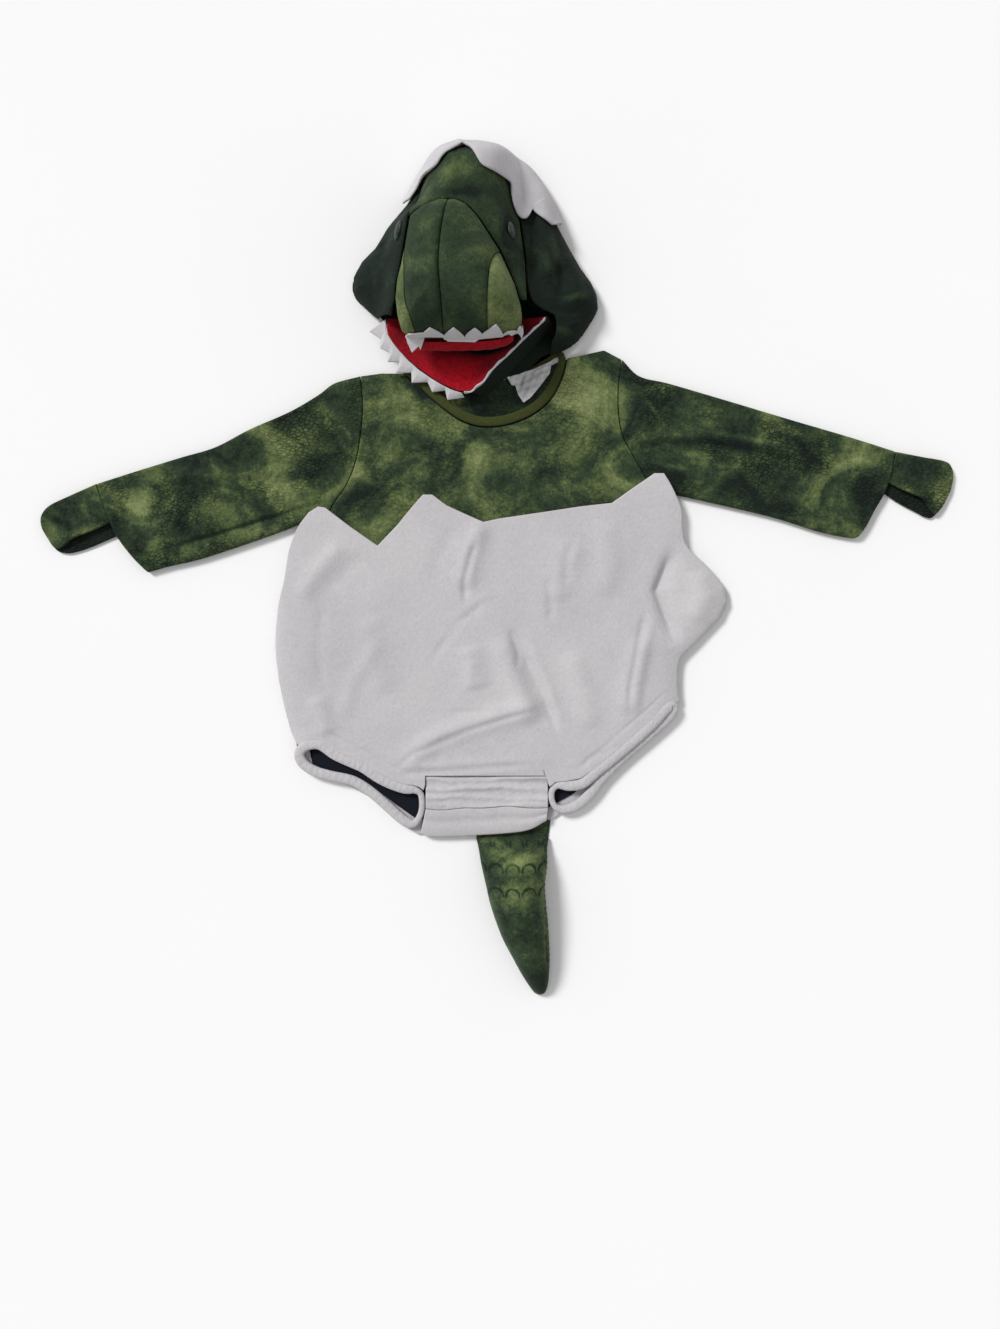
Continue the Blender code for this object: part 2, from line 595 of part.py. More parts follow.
CREASES_RIGHT = (
    ([(109, 104), (141, 111), (245, 102)], 7, 2.4),
    ([(112, 92), (150, 97), (200, 92)], 6, -0.8),
    ([(300, 92), (318, 82), (339, 79)], 6, 2.0),
    ([(128, 150), (134, 120), (132, 92)], 8, 1.4),
)
CUFF_LEFT = [(-338, 71), (-331, 49), (-322, 28), (-308, 9), (-295, -4)]
CUFF_RIGHT = [(337, 98.5), (333, 78), (328, 63), (320, 49), (312, 34), (306, 26)]
sleeve("sleeve_left", SLEEVE_LEFT_TOP, SLEEVE_LEFT_LOW, ARMHOLE_LEFT[::-1], CUFF_LEFT, CREASES_LEFT)
sleeve("sleeve_right", SLEEVE_RIGHT_TOP, SLEEVE_RIGHT_LOW, ARMHOLE_RIGHT[::-1], CUFF_RIGHT, CREASES_RIGHT)


def hand_cover(name, fold, mouth, stations=9):
    """A cover folded over at its upper edge and open below, its two layers meeting at the fingertips."""
    fold, mouth = smooth(fold, stations), smooth(mouth, stations)
    rings = []
    for k, (a, b) in enumerate(zip(fold, mouth)):
        width = np.linalg.norm(b - a)
        share = 1.0 - 0.62 * soft_step((k / (stations - 1) - 0.45) / 0.55)
        half = 0.5 * SLEEVE_HEIGHT * (0.55 + 0.45 * share)
        gap = 1.4 * share ** 2 + 0.12
        ease = np.array([1.0, 0.62, 0.3, 0.1, 0.02]) * width
        up = half * quarter_round(ease / 3.6)
        within = np.clip(ease, 1.9, None)
        clear = gap * quarter_round((within - 1.8) / 2.0)
        across = np.concatenate([ease, [0.0], ease[::-1], within, [1.8], within[::-1]])
        height = np.concatenate([half + up, [half], (half - up)[::-1], half - clear, [half],
            (half + clear)[::-1]])
        plan = a + (b - a) * (across / width)[:, None]
        rings.append(np.column_stack([plan, height]))
    return loft(name, rings)


hand_cover("hand_cover_left",
           [(-339.4, 71), (-361, 61), (-378, 53), (-385, 46), (-386.5, 40), (-385, 33)],
           [(-323.9, 26.5), (-344, 17.5), (-358, 13), (-366, 12.5), (-373, 15), (-380, 25)])
hand_cover("hand_cover_right",
           [(338.4, 98), (359, 94), (380, 90), (386, 84), (387, 76), (385, 66)],
           [(329.3, 63), (341, 55), (356, 47), (364, 43), (370, 43), (378, 52)])

# Hood

HOOD_OUTLINE_LEFT = [
    (-100, 209), (-111, 219), (-121, 231), (-121, 245), (-114, 258), (-103, 269), (-94, 283), (-85, 295),
    (-76, 306), (-69, 319), (-61, 333),
]
HOOD_OUTLINE_TOP = [(-61, 333), (-53, 342), (-43, 347.5), (-30, 349.5), (-12, 349.5), (2, 347), (14, 342)]
HOOD_OUTLINE_RIGHT = [
    (46, 179), (56, 182), (66, 188), (73, 196), (82, 210), (86, 219), (85, 230), (80, 241), (71, 253),
    (62, 269), (52, 288), (48, 300), (42, 312), (33, 326), (24, 336), (14, 342),
]
HOOD_OUTLINE = HOOD_OUTLINE_LEFT + HOOD_OUTLINE_TOP[1:-1] + HOOD_OUTLINE_RIGHT[::-1] + [(44, 110),
    (-98, 110)]
FACE_LEFT = [(-81, 210), (-81.5, 219), (-76, 252), (-71, 278), (-65, 306), (-57, 336)]
FACE_RIGHT = [(33, 207), (26, 222), (24, 252), (19, 285), (14, 342)]
FACE = FACE_LEFT + HOOD_OUTLINE_TOP[1:-1] + FACE_RIGHT[::-1] + [(30, 170), (-80, 170)]
SNOUT_OUTLINE = [
    (-69, 275), (-72, 261), (-77, 240), (-80, 228), (-81.5, 214), (-80, 200), (-77, 189), (-71, 184),
    (-59, 183), (-42, 183), (-22, 183), (-5, 184), (9, 185), (18, 189), (21, 197), (20, 207), (15, 224),
    (9, 237), (3, 250), (-7, 264), (-15, 275), (-24, 284), (-33, 288), (-46, 287.5), (-58, 283),
]
BROW = [
    (-70, 276), (-58, 284), (-46, 288.5), (-33, 289), (-23, 285), (-14, 276), (-6, 265), (4, 251),
    (10, 238), (16, 225), (21, 208), (25, 203),
]
HOOD_FOLDS = (
    ([(36, 290), (43, 268), (44, 250), (40, 232)], 7, 6.0),
    ([(57, 262), (66, 240), (68, 218)], 7, 4.0),
    ([(56, 250), (55, 232), (52, 216)], 5, -3.0),
    ([(-88, 288), (-84, 268), (-88, 246)], 6, 5.0),
    ([(-104, 262), (-96, 244), (-98, 226)], 6, 4.0),
    ([(-96, 270), (-90, 256)], 4, -2.5),
    ([(30, 316), (38, 300), (40, 284)], 6, 3.0),
)


def nape_lift(x, y):
    """How far the hood's back rises where it lies on the neck of the top."""
    return NAPE_LIFT * soft_step((200.0 - y) / 15.0) + 0.0 * x


def snout_rim(x, y):
    """Height of the snout's edge: low at the lip, high at the brow."""
    return SNOUT_RIM + (SNOUT_BROW - SNOUT_RIM) * soft_step((y - 235.0) / 48.0) + 0.0 * x


def skull(x, y):
    """Outside of the hood: round at the sides, full at the forehead, drawn up to the snout's edge."""
    side = HOOD_EDGE + nape_lift(x, y) + HOOD_RISE * quarter_round(depth_inside(x, y, HOOD_OUTLINE) / 40.0)
    side = side + folds(x, y, HOOD_FOLDS) * quarter_round((side - HOOD_EDGE) / HOOD_RISE)
    face = side + (FACE_HEIGHT - side) * soft_round(depth_inside(x, y, FACE) / 30.0)
    inside = depth_inside(x, y, SNOUT_OUTLINE)
    away, _ = line_distance(x, y, SNOUT_OUTLINE, closed=True)
    away = np.where(inside > 0, 0.0, away)
    pull = np.exp(-((away / 13.0) ** 2)) * soft_step((y - 196.0) / 14.0)
    return face + (snout_rim(x, y) - 1.5 - face) * pull


def hood_floor(x, y):
    """The least height of the hood's front cloth, just above its back."""
    return nape_lift(x, y) + VELOUR + SEAM + 0.0 * x


HOOD_BACK_LEFT = [
    (-78, 190), (-97, 211), (-118, 231), (-118, 245), (-111, 257), (-100, 268), (-91, 283), (-82, 295),
    (-73, 306), (-66, 318), (-54, 337), (-42, 344),
]
HOOD_BACK_RIGHT = [
    (38, 178), (54, 184.5), (64, 190), (71, 198), (79, 211), (83, 219), (82, 229), (77, 240), (68, 252),
    (59, 268), (49, 288), (39, 312), (22, 334), (0, 344),
]
NAPE = [(-78, 190), (-66, 178), (-50, 168), (-14, 160), (20, 164), (38, 178)]
back_plan = patch(smooth(NAPE, 9), spread([(-42, 344), (0, 344)], 9), smooth(HOOD_BACK_LEFT, 15),
    smooth(HOOD_BACK_RIGHT, 15))
lying_sheet("hood_back", back_plan, nape_lift(back_plan[..., 0], back_plan[..., 1]), VELOUR)

left_outer = smooth(HOOD_OUTLINE_LEFT, 17)
left_inner = smooth([(-82.2, 212), (-82.4, 219), (-77, 252), (-71.8, 278), (-66, 306), (-58.5, 334.5)], 17)
domed_sheet("hood_left", strip(left_outer, left_inner, 9, crowd=1.6), skull, 0.0, -HOOD_CLOTH, hood_floor)

right_outer = smooth(HOOD_OUTLINE_RIGHT, 21)
right_inner = smooth([(46, 184), (50, 196), (48, 207), (38, 211), (30, 217), (26.2, 230), (24.8, 252),
    (22.5, 268), (20, 285), (17, 315), (14.8, 340.5)], 21)
domed_sheet("hood_right", strip(right_outer, right_inner, 10, crowd=1.6), skull, 0.0, -HOOD_CLOTH,
    hood_floor)

crown_left = smooth([(-71, 279), (-65, 306), (-57, 336)], 12)
crown_right = smooth([(25.6, 216), (24, 238), (23.4, 252), (19, 285), (16, 315), (14, 341)], 12)
brow_line = smooth([(-71, 279), (-58, 286), (-46, 290.5), (-33, 291), (-22, 287), (-12, 278), (-4, 267),
    (6, 253), (12, 239), (18, 226), (21.5, 218), (25.6, 216)], 15)
top_line = smooth([(-57, 336), (-50, 343), (-43, 347), (-30, 349), (-12, 349), (2, 346.5), (14, 341)], 15)
domed_sheet("hood_crown", patch(brow_line, top_line, crown_left, crown_right), skull, 0.0, -HOOD_CLOTH,
    hood_floor)

# Scalloped egg-shell cap over the top of the hood
CAP_EDGE = [
    (-76, 303), (-69, 305), (-64, 313), (-56, 319), (-50, 319), (-45, 319), (-40, 324), (-33, 328),
    (-27, 333), (-22, 328), (-16, 322), (-12, 314), (-5, 311), (4, 309), (9, 308), (10, 300), (12, 292),
    (15, 285), (20, 284), (27, 289), (29, 294), (40, 284), (45, 282),
]
CAP_OUTER = [
    (-80, 301), (-76, 306), (-69, 319), (-61, 333), (-53, 342), (-43, 347.5), (-30, 349.5), (-12, 349.5),
    (2, 347), (14, 342), (24, 336), (33, 326), (42, 312), (48, 300), (52, 288), (50, 286),
]
cap_plan = strip(smooth(CAP_OUTER, 31), cornered(CAP_EDGE, 31), 7, crowd=1.7)
domed_sheet("shell_cap", cap_plan, skull, CAP_GAP + CAP_CLOTH, CAP_GAP)


def eye(name, x, y, half_width, half_length, lean):
    """A small raised lens lying on the hood."""
    turn = 2 * np.pi * np.arange(12) / 12
    reach = np.array([1.0, 0.72, 0.38])
    plan = np.dstack([
        x + reach[:, None] * (half_width * np.cos(turn) + lean * half_length * np.sin(turn)),
        y + reach[:, None] * half_length * np.sin(turn),
    ])
    points, off = on_surface(plan, skull)
    proud = 0.8 + 2.2 * np.sqrt(1.0 - reach[:, None, None] ** 2)
    outer, inner = points + off * proud, points + off * 0.4
    return loft(name, np.vstack([inner[::-1], outer]))


eye("eye_right", 11.5, 268.5, 2.4, 7.5, -0.15)
eye("eye_left", -78.5, 268.0, 2.4, 7.5, 0.2)

# Snout

SEAM_LEFT = [(-70, 275), (-73, 260), (-74, 243), (-73, 227), (-72, 205), (-68, 193), (-65, 183)]
SEAM_CENTRE = [(-38, 288), (-41, 268), (-44, 246), (-45, 229), (-44, 216), (-43, 201), (-42.5, 183)]
SEAM_RIGHT = [(4, 249), (-2, 240), (-5, 229), (-6, 218), (-7, 203), (-7, 192), (-7, 184)]


def snout_top(x, y):
    """Top of the stuffed snout: full in the middle, drawn in along its seams and creases."""
    depth = depth_inside(x, y, SNOUT_OUTLINE)
    rim = snout_rim(x, y)
    top = rim + (SNOUT_HEIGHT - rim) * quarter_round(depth / 37.0)
    fade = quarter_round(depth / 14.0)
    for seam, wide, deep in ((SEAM_CENTRE, 2.6, 1.6), (SEAM_RIGHT, 3.2, 2.6), (SEAM_LEFT, 2.4, 1.4)):
        away, _ = line_distance(x, y, seam)
        top = top - deep * fade * np.exp(-((away / wide) ** 2))
    return top


def snout_under(x, y):
    """Underside of the snout."""
    return SNOUT_UNDER + (SNOUT_RIM - 2.0 - SNOUT_UNDER) * (1.0 - quarter_round(depth_inside(x, y,
        SNOUT_OUTLINE) / 20.0))


def gore(name, first, second, columns=8, rows=17):
    """One stuffed panel of the snout, between two of its seams."""
    plan = strip(smooth(first, rows), smooth(second, rows), columns)
    x, y = plan[..., 0], plan[..., 1]
    return sheet(name, np.dstack([plan, snout_top(x, y)]), np.dstack([plan, snout_under(x, y)]))


def aside(line, by):
    """The same line moved along X, to leave a seam."""
    return [(x + by, y) for x, y in line]


EDGE_LEFT = [
    (-70.6, 274), (-73, 259), (-77, 240), (-80, 228), (-81.2, 214), (-79.7, 200), (-76.5, 189.3),
    (-71, 184.6), (-66, 183.8),
]
EDGE_BROW_LEFT = [(-68.6, 275.2), (-58, 282.2), (-46, 286.8), (-38.3, 287.6)]
EDGE_BROW_RIGHT = [(-37.5, 287.8), (-33, 287.5), (-24, 283.5), (-15, 274.5), (-7, 263.5), (3, 250)]
EDGE_RIGHT = [
    (4.2, 248), (9, 237), (15, 224), (19.6, 207), (20.6, 197), (17.8, 189.4), (9, 185.6), (-6.4, 184.6),
]

gore("snout_side_left", EDGE_LEFT, aside(SEAM_LEFT, -SEAM / 2)[:-1] + [(-65.4, 183.8)], columns=4)
gore("snout_side_right", aside(SEAM_RIGHT, SEAM / 2)[:-1] + [(-6.8, 185.4)], EDGE_RIGHT, columns=6)


def top_gore(name, first, second, brow, lip):
    """A main panel of the snout, whose upper edge is the brow and whose lower edge is the lip."""
    plan = patch(smooth(lip, 9), smooth(brow, 9), smooth(first, 16, crowd=1.5),
        smooth(second, 16, crowd=1.5), crowd=1.5)
    x, y = plan[..., 0], plan[..., 1]
    return sheet(name, np.dstack([plan, snout_top(x, y)]), np.dstack([plan, snout_under(x, y)]))


left_side = [(-64.6, 183.4), (-67.6, 193), (-71.6, 205), (-72.6, 227), (-73.4, 243), (-72.3, 260),
    (-68.6, 275.2)]
centre_left = [(-42.8, 183.4), (-43.3, 201), (-44.3, 216), (-45.3, 229), (-44.3, 246), (-41.4, 268),
    (-38.3, 287.6)]
centre_right = [(-42.2, 183.4), (-42.7, 201), (-43.7, 216), (-44.7, 229), (-43.7, 246), (-40.8, 268),
    (-37.5, 287.8)]
right_side = [(-7.4, 184.4), (-7.3, 192), (-7.3, 203), (-6.4, 218), (-5.4, 229), (-2.5, 240), (3, 250)]
top_gore("snout_top_left", left_side, centre_left, EDGE_BROW_LEFT,
    [(-64.6, 183.4), (-54, 183.2), (-42.8, 183.4)])
top_gore("snout_top_right", centre_right, right_side, EDGE_BROW_RIGHT,
    [(-42.2, 183.4), (-22, 183.4), (-7.4, 184.4)])

# Red palate that turns under the lip: how far ahead of the lip, and how high
PALATE = ((2.8, 43.6), (5.4, 41.2), (7.2, 37.2), (7.0, 33.0), (4.6, 30.0), (0.0, 28.6), (-14.0, 28.2),
    (-36.0, 28.2))
PALATE_CLOTH = 1.7


def palate_grid(inward):
    """The palate's outside, or its inside when inward is its thickness."""
    along = smooth([(-71.2, 186.0), (-66, 183.8), (-54, 182.8), (-40, 182.8), (-22, 183), (-8, 184),
        (3, 186)], 15)
    profile = np.array(PALATE)
    step = np.gradient(profile, axis=0)
    side = np.column_stack([step[:, 1], -step[:, 0]]) / np.linalg.norm(step, axis=1)[:, None]
    profile = profile + side * inward
    narrow = 1.0 - 0.45 * np.abs(np.linspace(-1.0, 1.0, 15)) ** 6
    ahead = np.where(profile[:, 0] > 0.6, 0.6 + (profile[:, 0] - 0.6) * narrow[:, None], profile[:, 0])
    middle = -33.0
    lean = np.clip(-profile[:, 0], 0.0, None) / 60.0
    x = along[:, :1] + (middle - along[:, :1]) * lean
    return np.dstack([x, along[:, 1:] - ahead, np.broadcast_to(profile[:, 1], ahead.shape)])


sheet("palate", palate_grid(0.0), palate_grid(PALATE_CLOTH))

# Felt teeth of the upper jaw: the foot and the tip line, lying on the lip
TEETH_FOOT = [
    (-72.5, 184.4), (-66, 182.9), (-59, 182.4), (-52, 182.3), (-42, 182.3), (-32, 182.3), (-25, 182.5),
    (-17, 182.8), (-11, 183.2), (0, 184), (5, 184.4), (12, 185.2), (18, 188.2), (21.6, 193.5),
]
TEETH_TIPS = [
    (-73, 190.5), (-66, 186.4), (-59, 185.2), (-54, 189.5), (-42, 185), (-35, 189.5), (-25, 185),
    (-17, 190), (-11, 186.4), (0, 192), (5, 187.2), (12.5, 190.5), (16.6, 190.6), (18, 198),
]


def lip_under(x, y):
    """Underside of the upper teeth, which stand further off the snout towards their tips."""
    return snout_top(x, y) + 2.6 + 5.4 * soft_step((y - 183.4) / 4.0)


def tooth_plate(name, foot, tips, base, thickness):
    """A zigzag strip of felt lying on a curved form."""
    plan = strip(cornered(foot, len(foot)), cornered(tips, len(tips)), 5, crowd=1.5)
    under = base(plan[..., 0], plan[..., 1])
    return lying_sheet(name, plan, under, thickness)


tooth_plate("upper_teeth", TEETH_FOOT, TEETH_TIPS, lip_under, 2.6)

# Longer teeth that hang from both ends of the lip
CORNER_FOOT_LEFT = [(-73.5, 184.6), (-70, 183.8), (-66, 183.0), (-62.5, 182.7), (-59.3, 182.6)]
CORNER_TIPS_LEFT = [(-71.6, 178.5), (-68.4, 172.6), (-64.6, 178.8), (-62.0, 175.0), (-59.8, 179.6)]
CORNER_FOOT_RIGHT = [(15.0, 185.9), (18.8, 187.8), (22.0, 191.2)]
CORNER_TIPS_RIGHT = [(19.4, 183.6), (20.6, 180.6), (22.0, 184.2)]
CORNER_HEIGHT = 47.3
CORNER_DROP = 6.6


def corner_under(x, y):
    """Underside of the corner teeth, which hang lower towards their tips."""
    return CORNER_HEIGHT - CORNER_DROP * soft_step((184.5 - y) / 14.0) + 0.0 * x


tooth_plate("upper_teeth_corner_left", CORNER_FOOT_LEFT, CORNER_TIPS_LEFT, corner_under, 1.4)
tooth_plate("upper_teeth_corner_right", CORNER_FOOT_RIGHT, CORNER_TIPS_RIGHT, corner_under, 1.4)

# Jaw: for each place down it the left rim, the middle, the right rim and the foot of its outer side
JAW = (
    # left x, y, z, middle x, y, z, right x, y, z, foot x, y
    (-91, 206.5, 15.0, -31, 208, 12.0, 36, 200, 27.0, 45.5, 201),
    (-91, 195, 15.0, -31, 196, 11.6, 23, 188, 29.0, 33.5, 188),
    (-80, 180, 15.0, -32, 181, 11.6, 9, 174, 29.5, 19, 172.5),
    (-64, 165.5, 15.0, -31, 167, 12.0, -3, 163, 28.5, 7, 160),
    (-46, 153.5, 16.0, -28, 154.5, 13.4, -12, 152, 25.5, -4, 149.5),
    (-32, 147, 16.4, -26, 147, 15.2, -20, 147.5, 19.0, -14, 144.5),
)
JAW_LINING = 1.4
JAW_BOTTOM = 6.4
JAW_ROWS = 15
jaw_left = smooth([row[0:3] for row in JAW], JAW_ROWS)
jaw_middle = smooth([row[3:6] for row in JAW], JAW_ROWS)
jaw_right = smooth([row[6:9] for row in JAW], JAW_ROWS)
jaw_foot = smooth([row[9:11] for row in JAW], JAW_ROWS)


def jaw_inside(drop):
    """The lining's upper side, lowered by drop: a shallow trough from rim to rim."""
    columns = []
    for t in (0.0, 0.06, 0.3, 0.65, 1.0):
        height = jaw_middle[:, 2] + (jaw_left[:, 2] - jaw_middle[:, 2]) * (1 - t) ** 3
        columns.append(np.column_stack([jaw_left[:, :2] * (1 - t) + jaw_middle[:, :2] * t, height]))
    for t in (0.35, 0.6, 0.8, 0.93, 1.0):
        height = jaw_middle[:, 2] + (jaw_right[:, 2] - jaw_middle[:, 2]) * t ** 2.4
        columns.append(np.column_stack([jaw_middle[:, :2] * (1 - t) + jaw_right[:, :2] * t, height]))
    grid = np.stack(columns, axis=1)
    grid[..., 2] -= drop
    return grid


sheet("jaw_lining", jaw_inside(0.0), jaw_inside(JAW_LINING))
jaw_top = jaw_inside(JAW_LINING + SEAM)
jaw_outside = np.stack([
    np.column_stack([jaw_right[:, :2] * (1 - t) + jaw_foot * t,
    8.0 + (jaw_right[:, 2] - 2.2 - 8.0) * (1 - t ** 1.5)])
    for t in (0.5, 1.0)], axis=1)
jaw_top = np.concatenate([jaw_top, jaw_outside], axis=1)
jaw_low = jaw_top.copy()
jaw_low[..., 2] = JAW_BOTTOM
sheet("jaw_outer", jaw_top, jaw_low)

# Felt teeth of the lower jaw: flat outwards on the left rim, upright on the right one
LOWER_FOOT = [
    (-92.5, 204), (-92.5, 195), (-86, 186), (-81, 180), (-74, 173), (-65, 164), (-55, 157.5), (-46, 152),
    (-38, 148), (-31, 145.4),
]
LOWER_TIPS = [
    (-107, 199), (-98, 192), (-99, 185), (-92, 180), (-92, 174), (-80, 165), (-72, 156), (-62, 153.5),
    (-53, 147.5), (-42, 142),
]
lower_plan = strip(cornered(LOWER_FOOT, 19), cornered(
    [(-107, 200), (-97, 192), (-99, 185), (-90.5, 179.5), (-92, 174), (-84, 171), (-85, 164), (-76, 163.5),
    (-72, 156), (-63, 155.5), (-54, 148), (-49, 149.5), (-42, 141.5), (-33, 143)], 19), 4)
lower_t = np.linspace(0.0, 1.0, 4)[None, :] + 0.0 * lower_plan[..., 0]
lying_sheet("lower_teeth", lower_plan, 13.4 - 4.2 * lower_t ** 1.3, 1.6)

rim_rows = jaw_right[1:-1]
rim_count = len(rim_rows)
rim_tip = np.where(np.arange(rim_count) % 2 == 0, 1.4, 5.6)
rim_low = np.stack([
    np.column_stack([rim_rows[:, 0] + offset, rim_rows[:, 1] - 0.7 * offset,
    rim_rows[:, 2] + 0.5 + 0.0 * rim_tip])
    for offset in (0.0, 1.5)], axis=1)
rim_high = rim_low.copy()
rim_high[..., 2] += rim_tip[:, None]
sheet("lower_teeth_right", rim_high, rim_low)
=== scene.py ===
"""Looks of a baby's hatching t-rex costume that lies flat on its back.

Each piece of cloth is a fine grid over the same plan and heights as its solid in the frame, with
the creases, pressed scales and patchy colours that the cloth shows, and painted light and shade on
some pieces. Tables are in millimetres.
"""

import logging
import math
from dataclasses import dataclass, field
from enum import Enum
from typing import Callable, Sequence

import bpy
import numpy as np
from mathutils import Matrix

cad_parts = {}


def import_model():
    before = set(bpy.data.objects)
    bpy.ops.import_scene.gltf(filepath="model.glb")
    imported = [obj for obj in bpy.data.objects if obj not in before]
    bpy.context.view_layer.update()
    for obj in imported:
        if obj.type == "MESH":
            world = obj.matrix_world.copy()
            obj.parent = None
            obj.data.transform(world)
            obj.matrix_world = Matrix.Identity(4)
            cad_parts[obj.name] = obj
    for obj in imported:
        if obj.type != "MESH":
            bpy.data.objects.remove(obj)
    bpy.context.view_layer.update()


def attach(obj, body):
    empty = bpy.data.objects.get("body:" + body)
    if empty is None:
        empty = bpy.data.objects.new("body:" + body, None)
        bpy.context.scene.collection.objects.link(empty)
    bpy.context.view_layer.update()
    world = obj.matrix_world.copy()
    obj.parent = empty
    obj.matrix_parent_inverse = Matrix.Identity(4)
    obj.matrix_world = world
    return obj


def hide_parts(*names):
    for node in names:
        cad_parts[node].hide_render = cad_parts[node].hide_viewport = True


LOG = logging.getLogger("costume")
MM = 0.001
TO_MIDDLE = np.array([-0.18, 3.54, 0.0])

Array = np.ndarray
Line = Sequence[tuple]
Height = Callable[[Array, Array], Array]
Material = bpy.types.Material
Node = bpy.types.Node
Socket = bpy.types.NodeSocket
Thing = bpy.types.Object
Tree = bpy.types.NodeTree
SEWN = "_sewn"
# Share of the steps between a grid's rims that shares() keeps
FINENESS = 0.77
# How far pieces are kept apart at a seam, in millimetres
SEAM = 0.12


# Numbers from shapes


def quarter_round(t: Array) -> Array:
    """Rise like a quarter of a circle as t goes from 0 to 1: sqrt(1 - (1 - t)^2)."""
    return np.sqrt(1.0 - (1.0 - np.clip(t, 0.0, 1.0)) ** 2)


def soft_round(t: Array) -> Array:
    """Rise like a quarter of a sine as t goes from 0 to 1: sin(t * pi / 2)."""
    return np.sin(0.5 * np.pi * np.clip(t, 0.0, 1.0))


def soft_step(t: Array) -> Array:
    """Step that is level at both ends as t goes from 0 to 1: 3 t^2 - 2 t^3."""
    t = np.clip(t, 0.0, 1.0)
    return t * t * (3.0 - 2.0 * t)


def shares(count: int, length: float = 0.0, crowd: float = 1.0, edge: float = 1.4, steps: int = 4) -> Array:
    """Steps from 0 to 1, with a few more at both ends for a rounded rim.

    Args:
        count: How many values, before FINENESS thins those between the rims.
        length: What they are shares of, in millimetres. No rim is added where it is 0.
        crowd: Power that draws the values between the rims towards 0.
        edge: Width of the rim in millimetres.
        steps: How many values lie in each rim.

    Returns:
        Rising values from 0 to 1.
    """
    if not length:
        return np.linspace(0.0, 1.0, count) ** crowd
    share = edge / length
    rim = share * np.linspace(0.0, 1.0, steps + 1)[:-1] ** 1.5
    kept = round(FINENESS * (count - 2 * steps))
    inner = share + (1.0 - 2.0 * share) * np.linspace(0.0, 1.0, kept) ** crowd
    return np.concatenate([rim, inner, 1.0 - rim[::-1]])


def travelled(points: Array) -> Array:
    """How far along a line each of its points lies from its start, in plan."""
    return np.concatenate([[0.0], np.cumsum(np.linalg.norm(np.diff(points[:, :2], axis=0), axis=1))])


def spread(points: Line, at: Array | int) -> Array:
    """Points along straight lines.

    Args:
        points: The corners of the line.
        at: How many even steps, or the shares of the length.

    Returns:
        One row for each place.
    """
    points = np.asarray(points, float)
    at = np.linspace(0.0, 1.0, at) if isinstance(at, int) else at
    along = travelled(points)
    return np.column_stack([np.interp(at * along[-1], along, column) for column in points.T])


def smooth(points: Line, at: Array | int, closed: bool = False) -> Array:
    """Points along a rounded curve through the given ones.

    Args:
        points: What the curve passes through.
        at: How many even steps, or the shares of the length.
        closed: Whether the curve returns to its start.

    Returns:
        One row for each place, the start not repeated on a closed curve.
    """
    points = np.asarray(points, float)
    if closed:
        padded = np.vstack([points[-1:], points, points[:2]])
    else:
        padded = np.vstack([2 * points[0] - points[1], points, 2 * points[-1] - points[-2]])
    t = np.linspace(0.0, 1.0, 16, endpoint=False)[None, :, None]
    a, b, c, d = (padded[k : len(padded) - 3 + k, None, :] for k in range(4))
    curve = 0.5 * (2 * b + (c - a) * t + (2 * a - 5 * b + 4 * c - d) * t**2 + (3 * b - a - 3 * c + d) * t**3)
    dense = np.vstack([curve.reshape(-1, points.shape[1]), points[:1] if closed else points[-1:]])
    if closed and isinstance(at, int):
        at = np.linspace(0.0, 1.0, at, endpoint=False)
    return spread(dense, at)


def cornered(points: Line, at: Array) -> Array:
    """Points along straight lines, with every given corner among them.

    Args:
        points: The corners.
        at: Shares of the length, of which those nearest the corners are moved to them.

    Returns:
        One row for each place.
    """
    points = np.asarray(points, float)
    at = at.copy()
    along = travelled(points)
    for corner in along[1:-1] / along[-1]:
        at[np.abs(at - corner).argmin()] = corner
    return spread(points, at)


def patch(low: Array, high: Array, left: Array, right: Array, u: Array, v: Array) -> Array:
    """Fill four curves that share their ends.

    Args:
        low: The curve at v = 0, one row for each u.
        high: The curve at v = 1.
        left: The curve at u = 0, one row for each v.
        right: The curve at u = 1.
        u: Shares along low and high.
        v: Shares along left and right.

    Returns:
        A grid of plan points: the two blends of facing curves less that of the corners.
    """
    u, v = u[:, None, None], v[None, :, None]
    ends = (1 - u) * (1 - v) * low[0] + u * (1 - v) * low[-1] + (1 - u) * v * high[0] + u * v * high[-1]
    return (1 - v) * low[:, None] + v * high[:, None] + (1 - u) * left[None] + u * right[None] - ends


def strip(first: Array, second: Array, t: Array) -> Array:
    """Grid of straight lines from a first curve, at t = 0, to a second one at t = 1."""
    t = t[None, :, None]
    return first[:, None] * (1 - t) + second[:, None] * t


def line_distance(x: Array, y: Array, line: Line, closed: bool = False) -> tuple[Array, Array]:
    """Distance in plan to a line of points.

    Args:
        x, y: Where to measure.
        line: The line's corners.
        closed: Whether it returns to its start.

    Returns:
        The distance, and the share of the line's length at which the nearest place is.
    """
    line = np.asarray(line, float)[:, :2]
    if closed:
        line = np.vstack([line, line[:1]])
    lengths = np.linalg.norm(np.diff(line, axis=0), axis=1)
    total = lengths.sum()
    best = np.full(np.shape(x), np.inf)
    place = np.zeros(np.shape(x))
    done = 0.0
    for a, b, length in zip(line, line[1:], lengths):
        step = (b - a) / max(length, 1e-9)
        t = np.clip((x - a[0]) * step[0] + (y - a[1]) * step[1], 0.0, length)
        away = np.hypot(x - a[0] - t * step[0], y - a[1] - t * step[1])
        nearer = away < best
        best = np.where(nearer, away, best)
        place = np.where(nearer, (done + t) / total, place)
        done += length
    return best, place


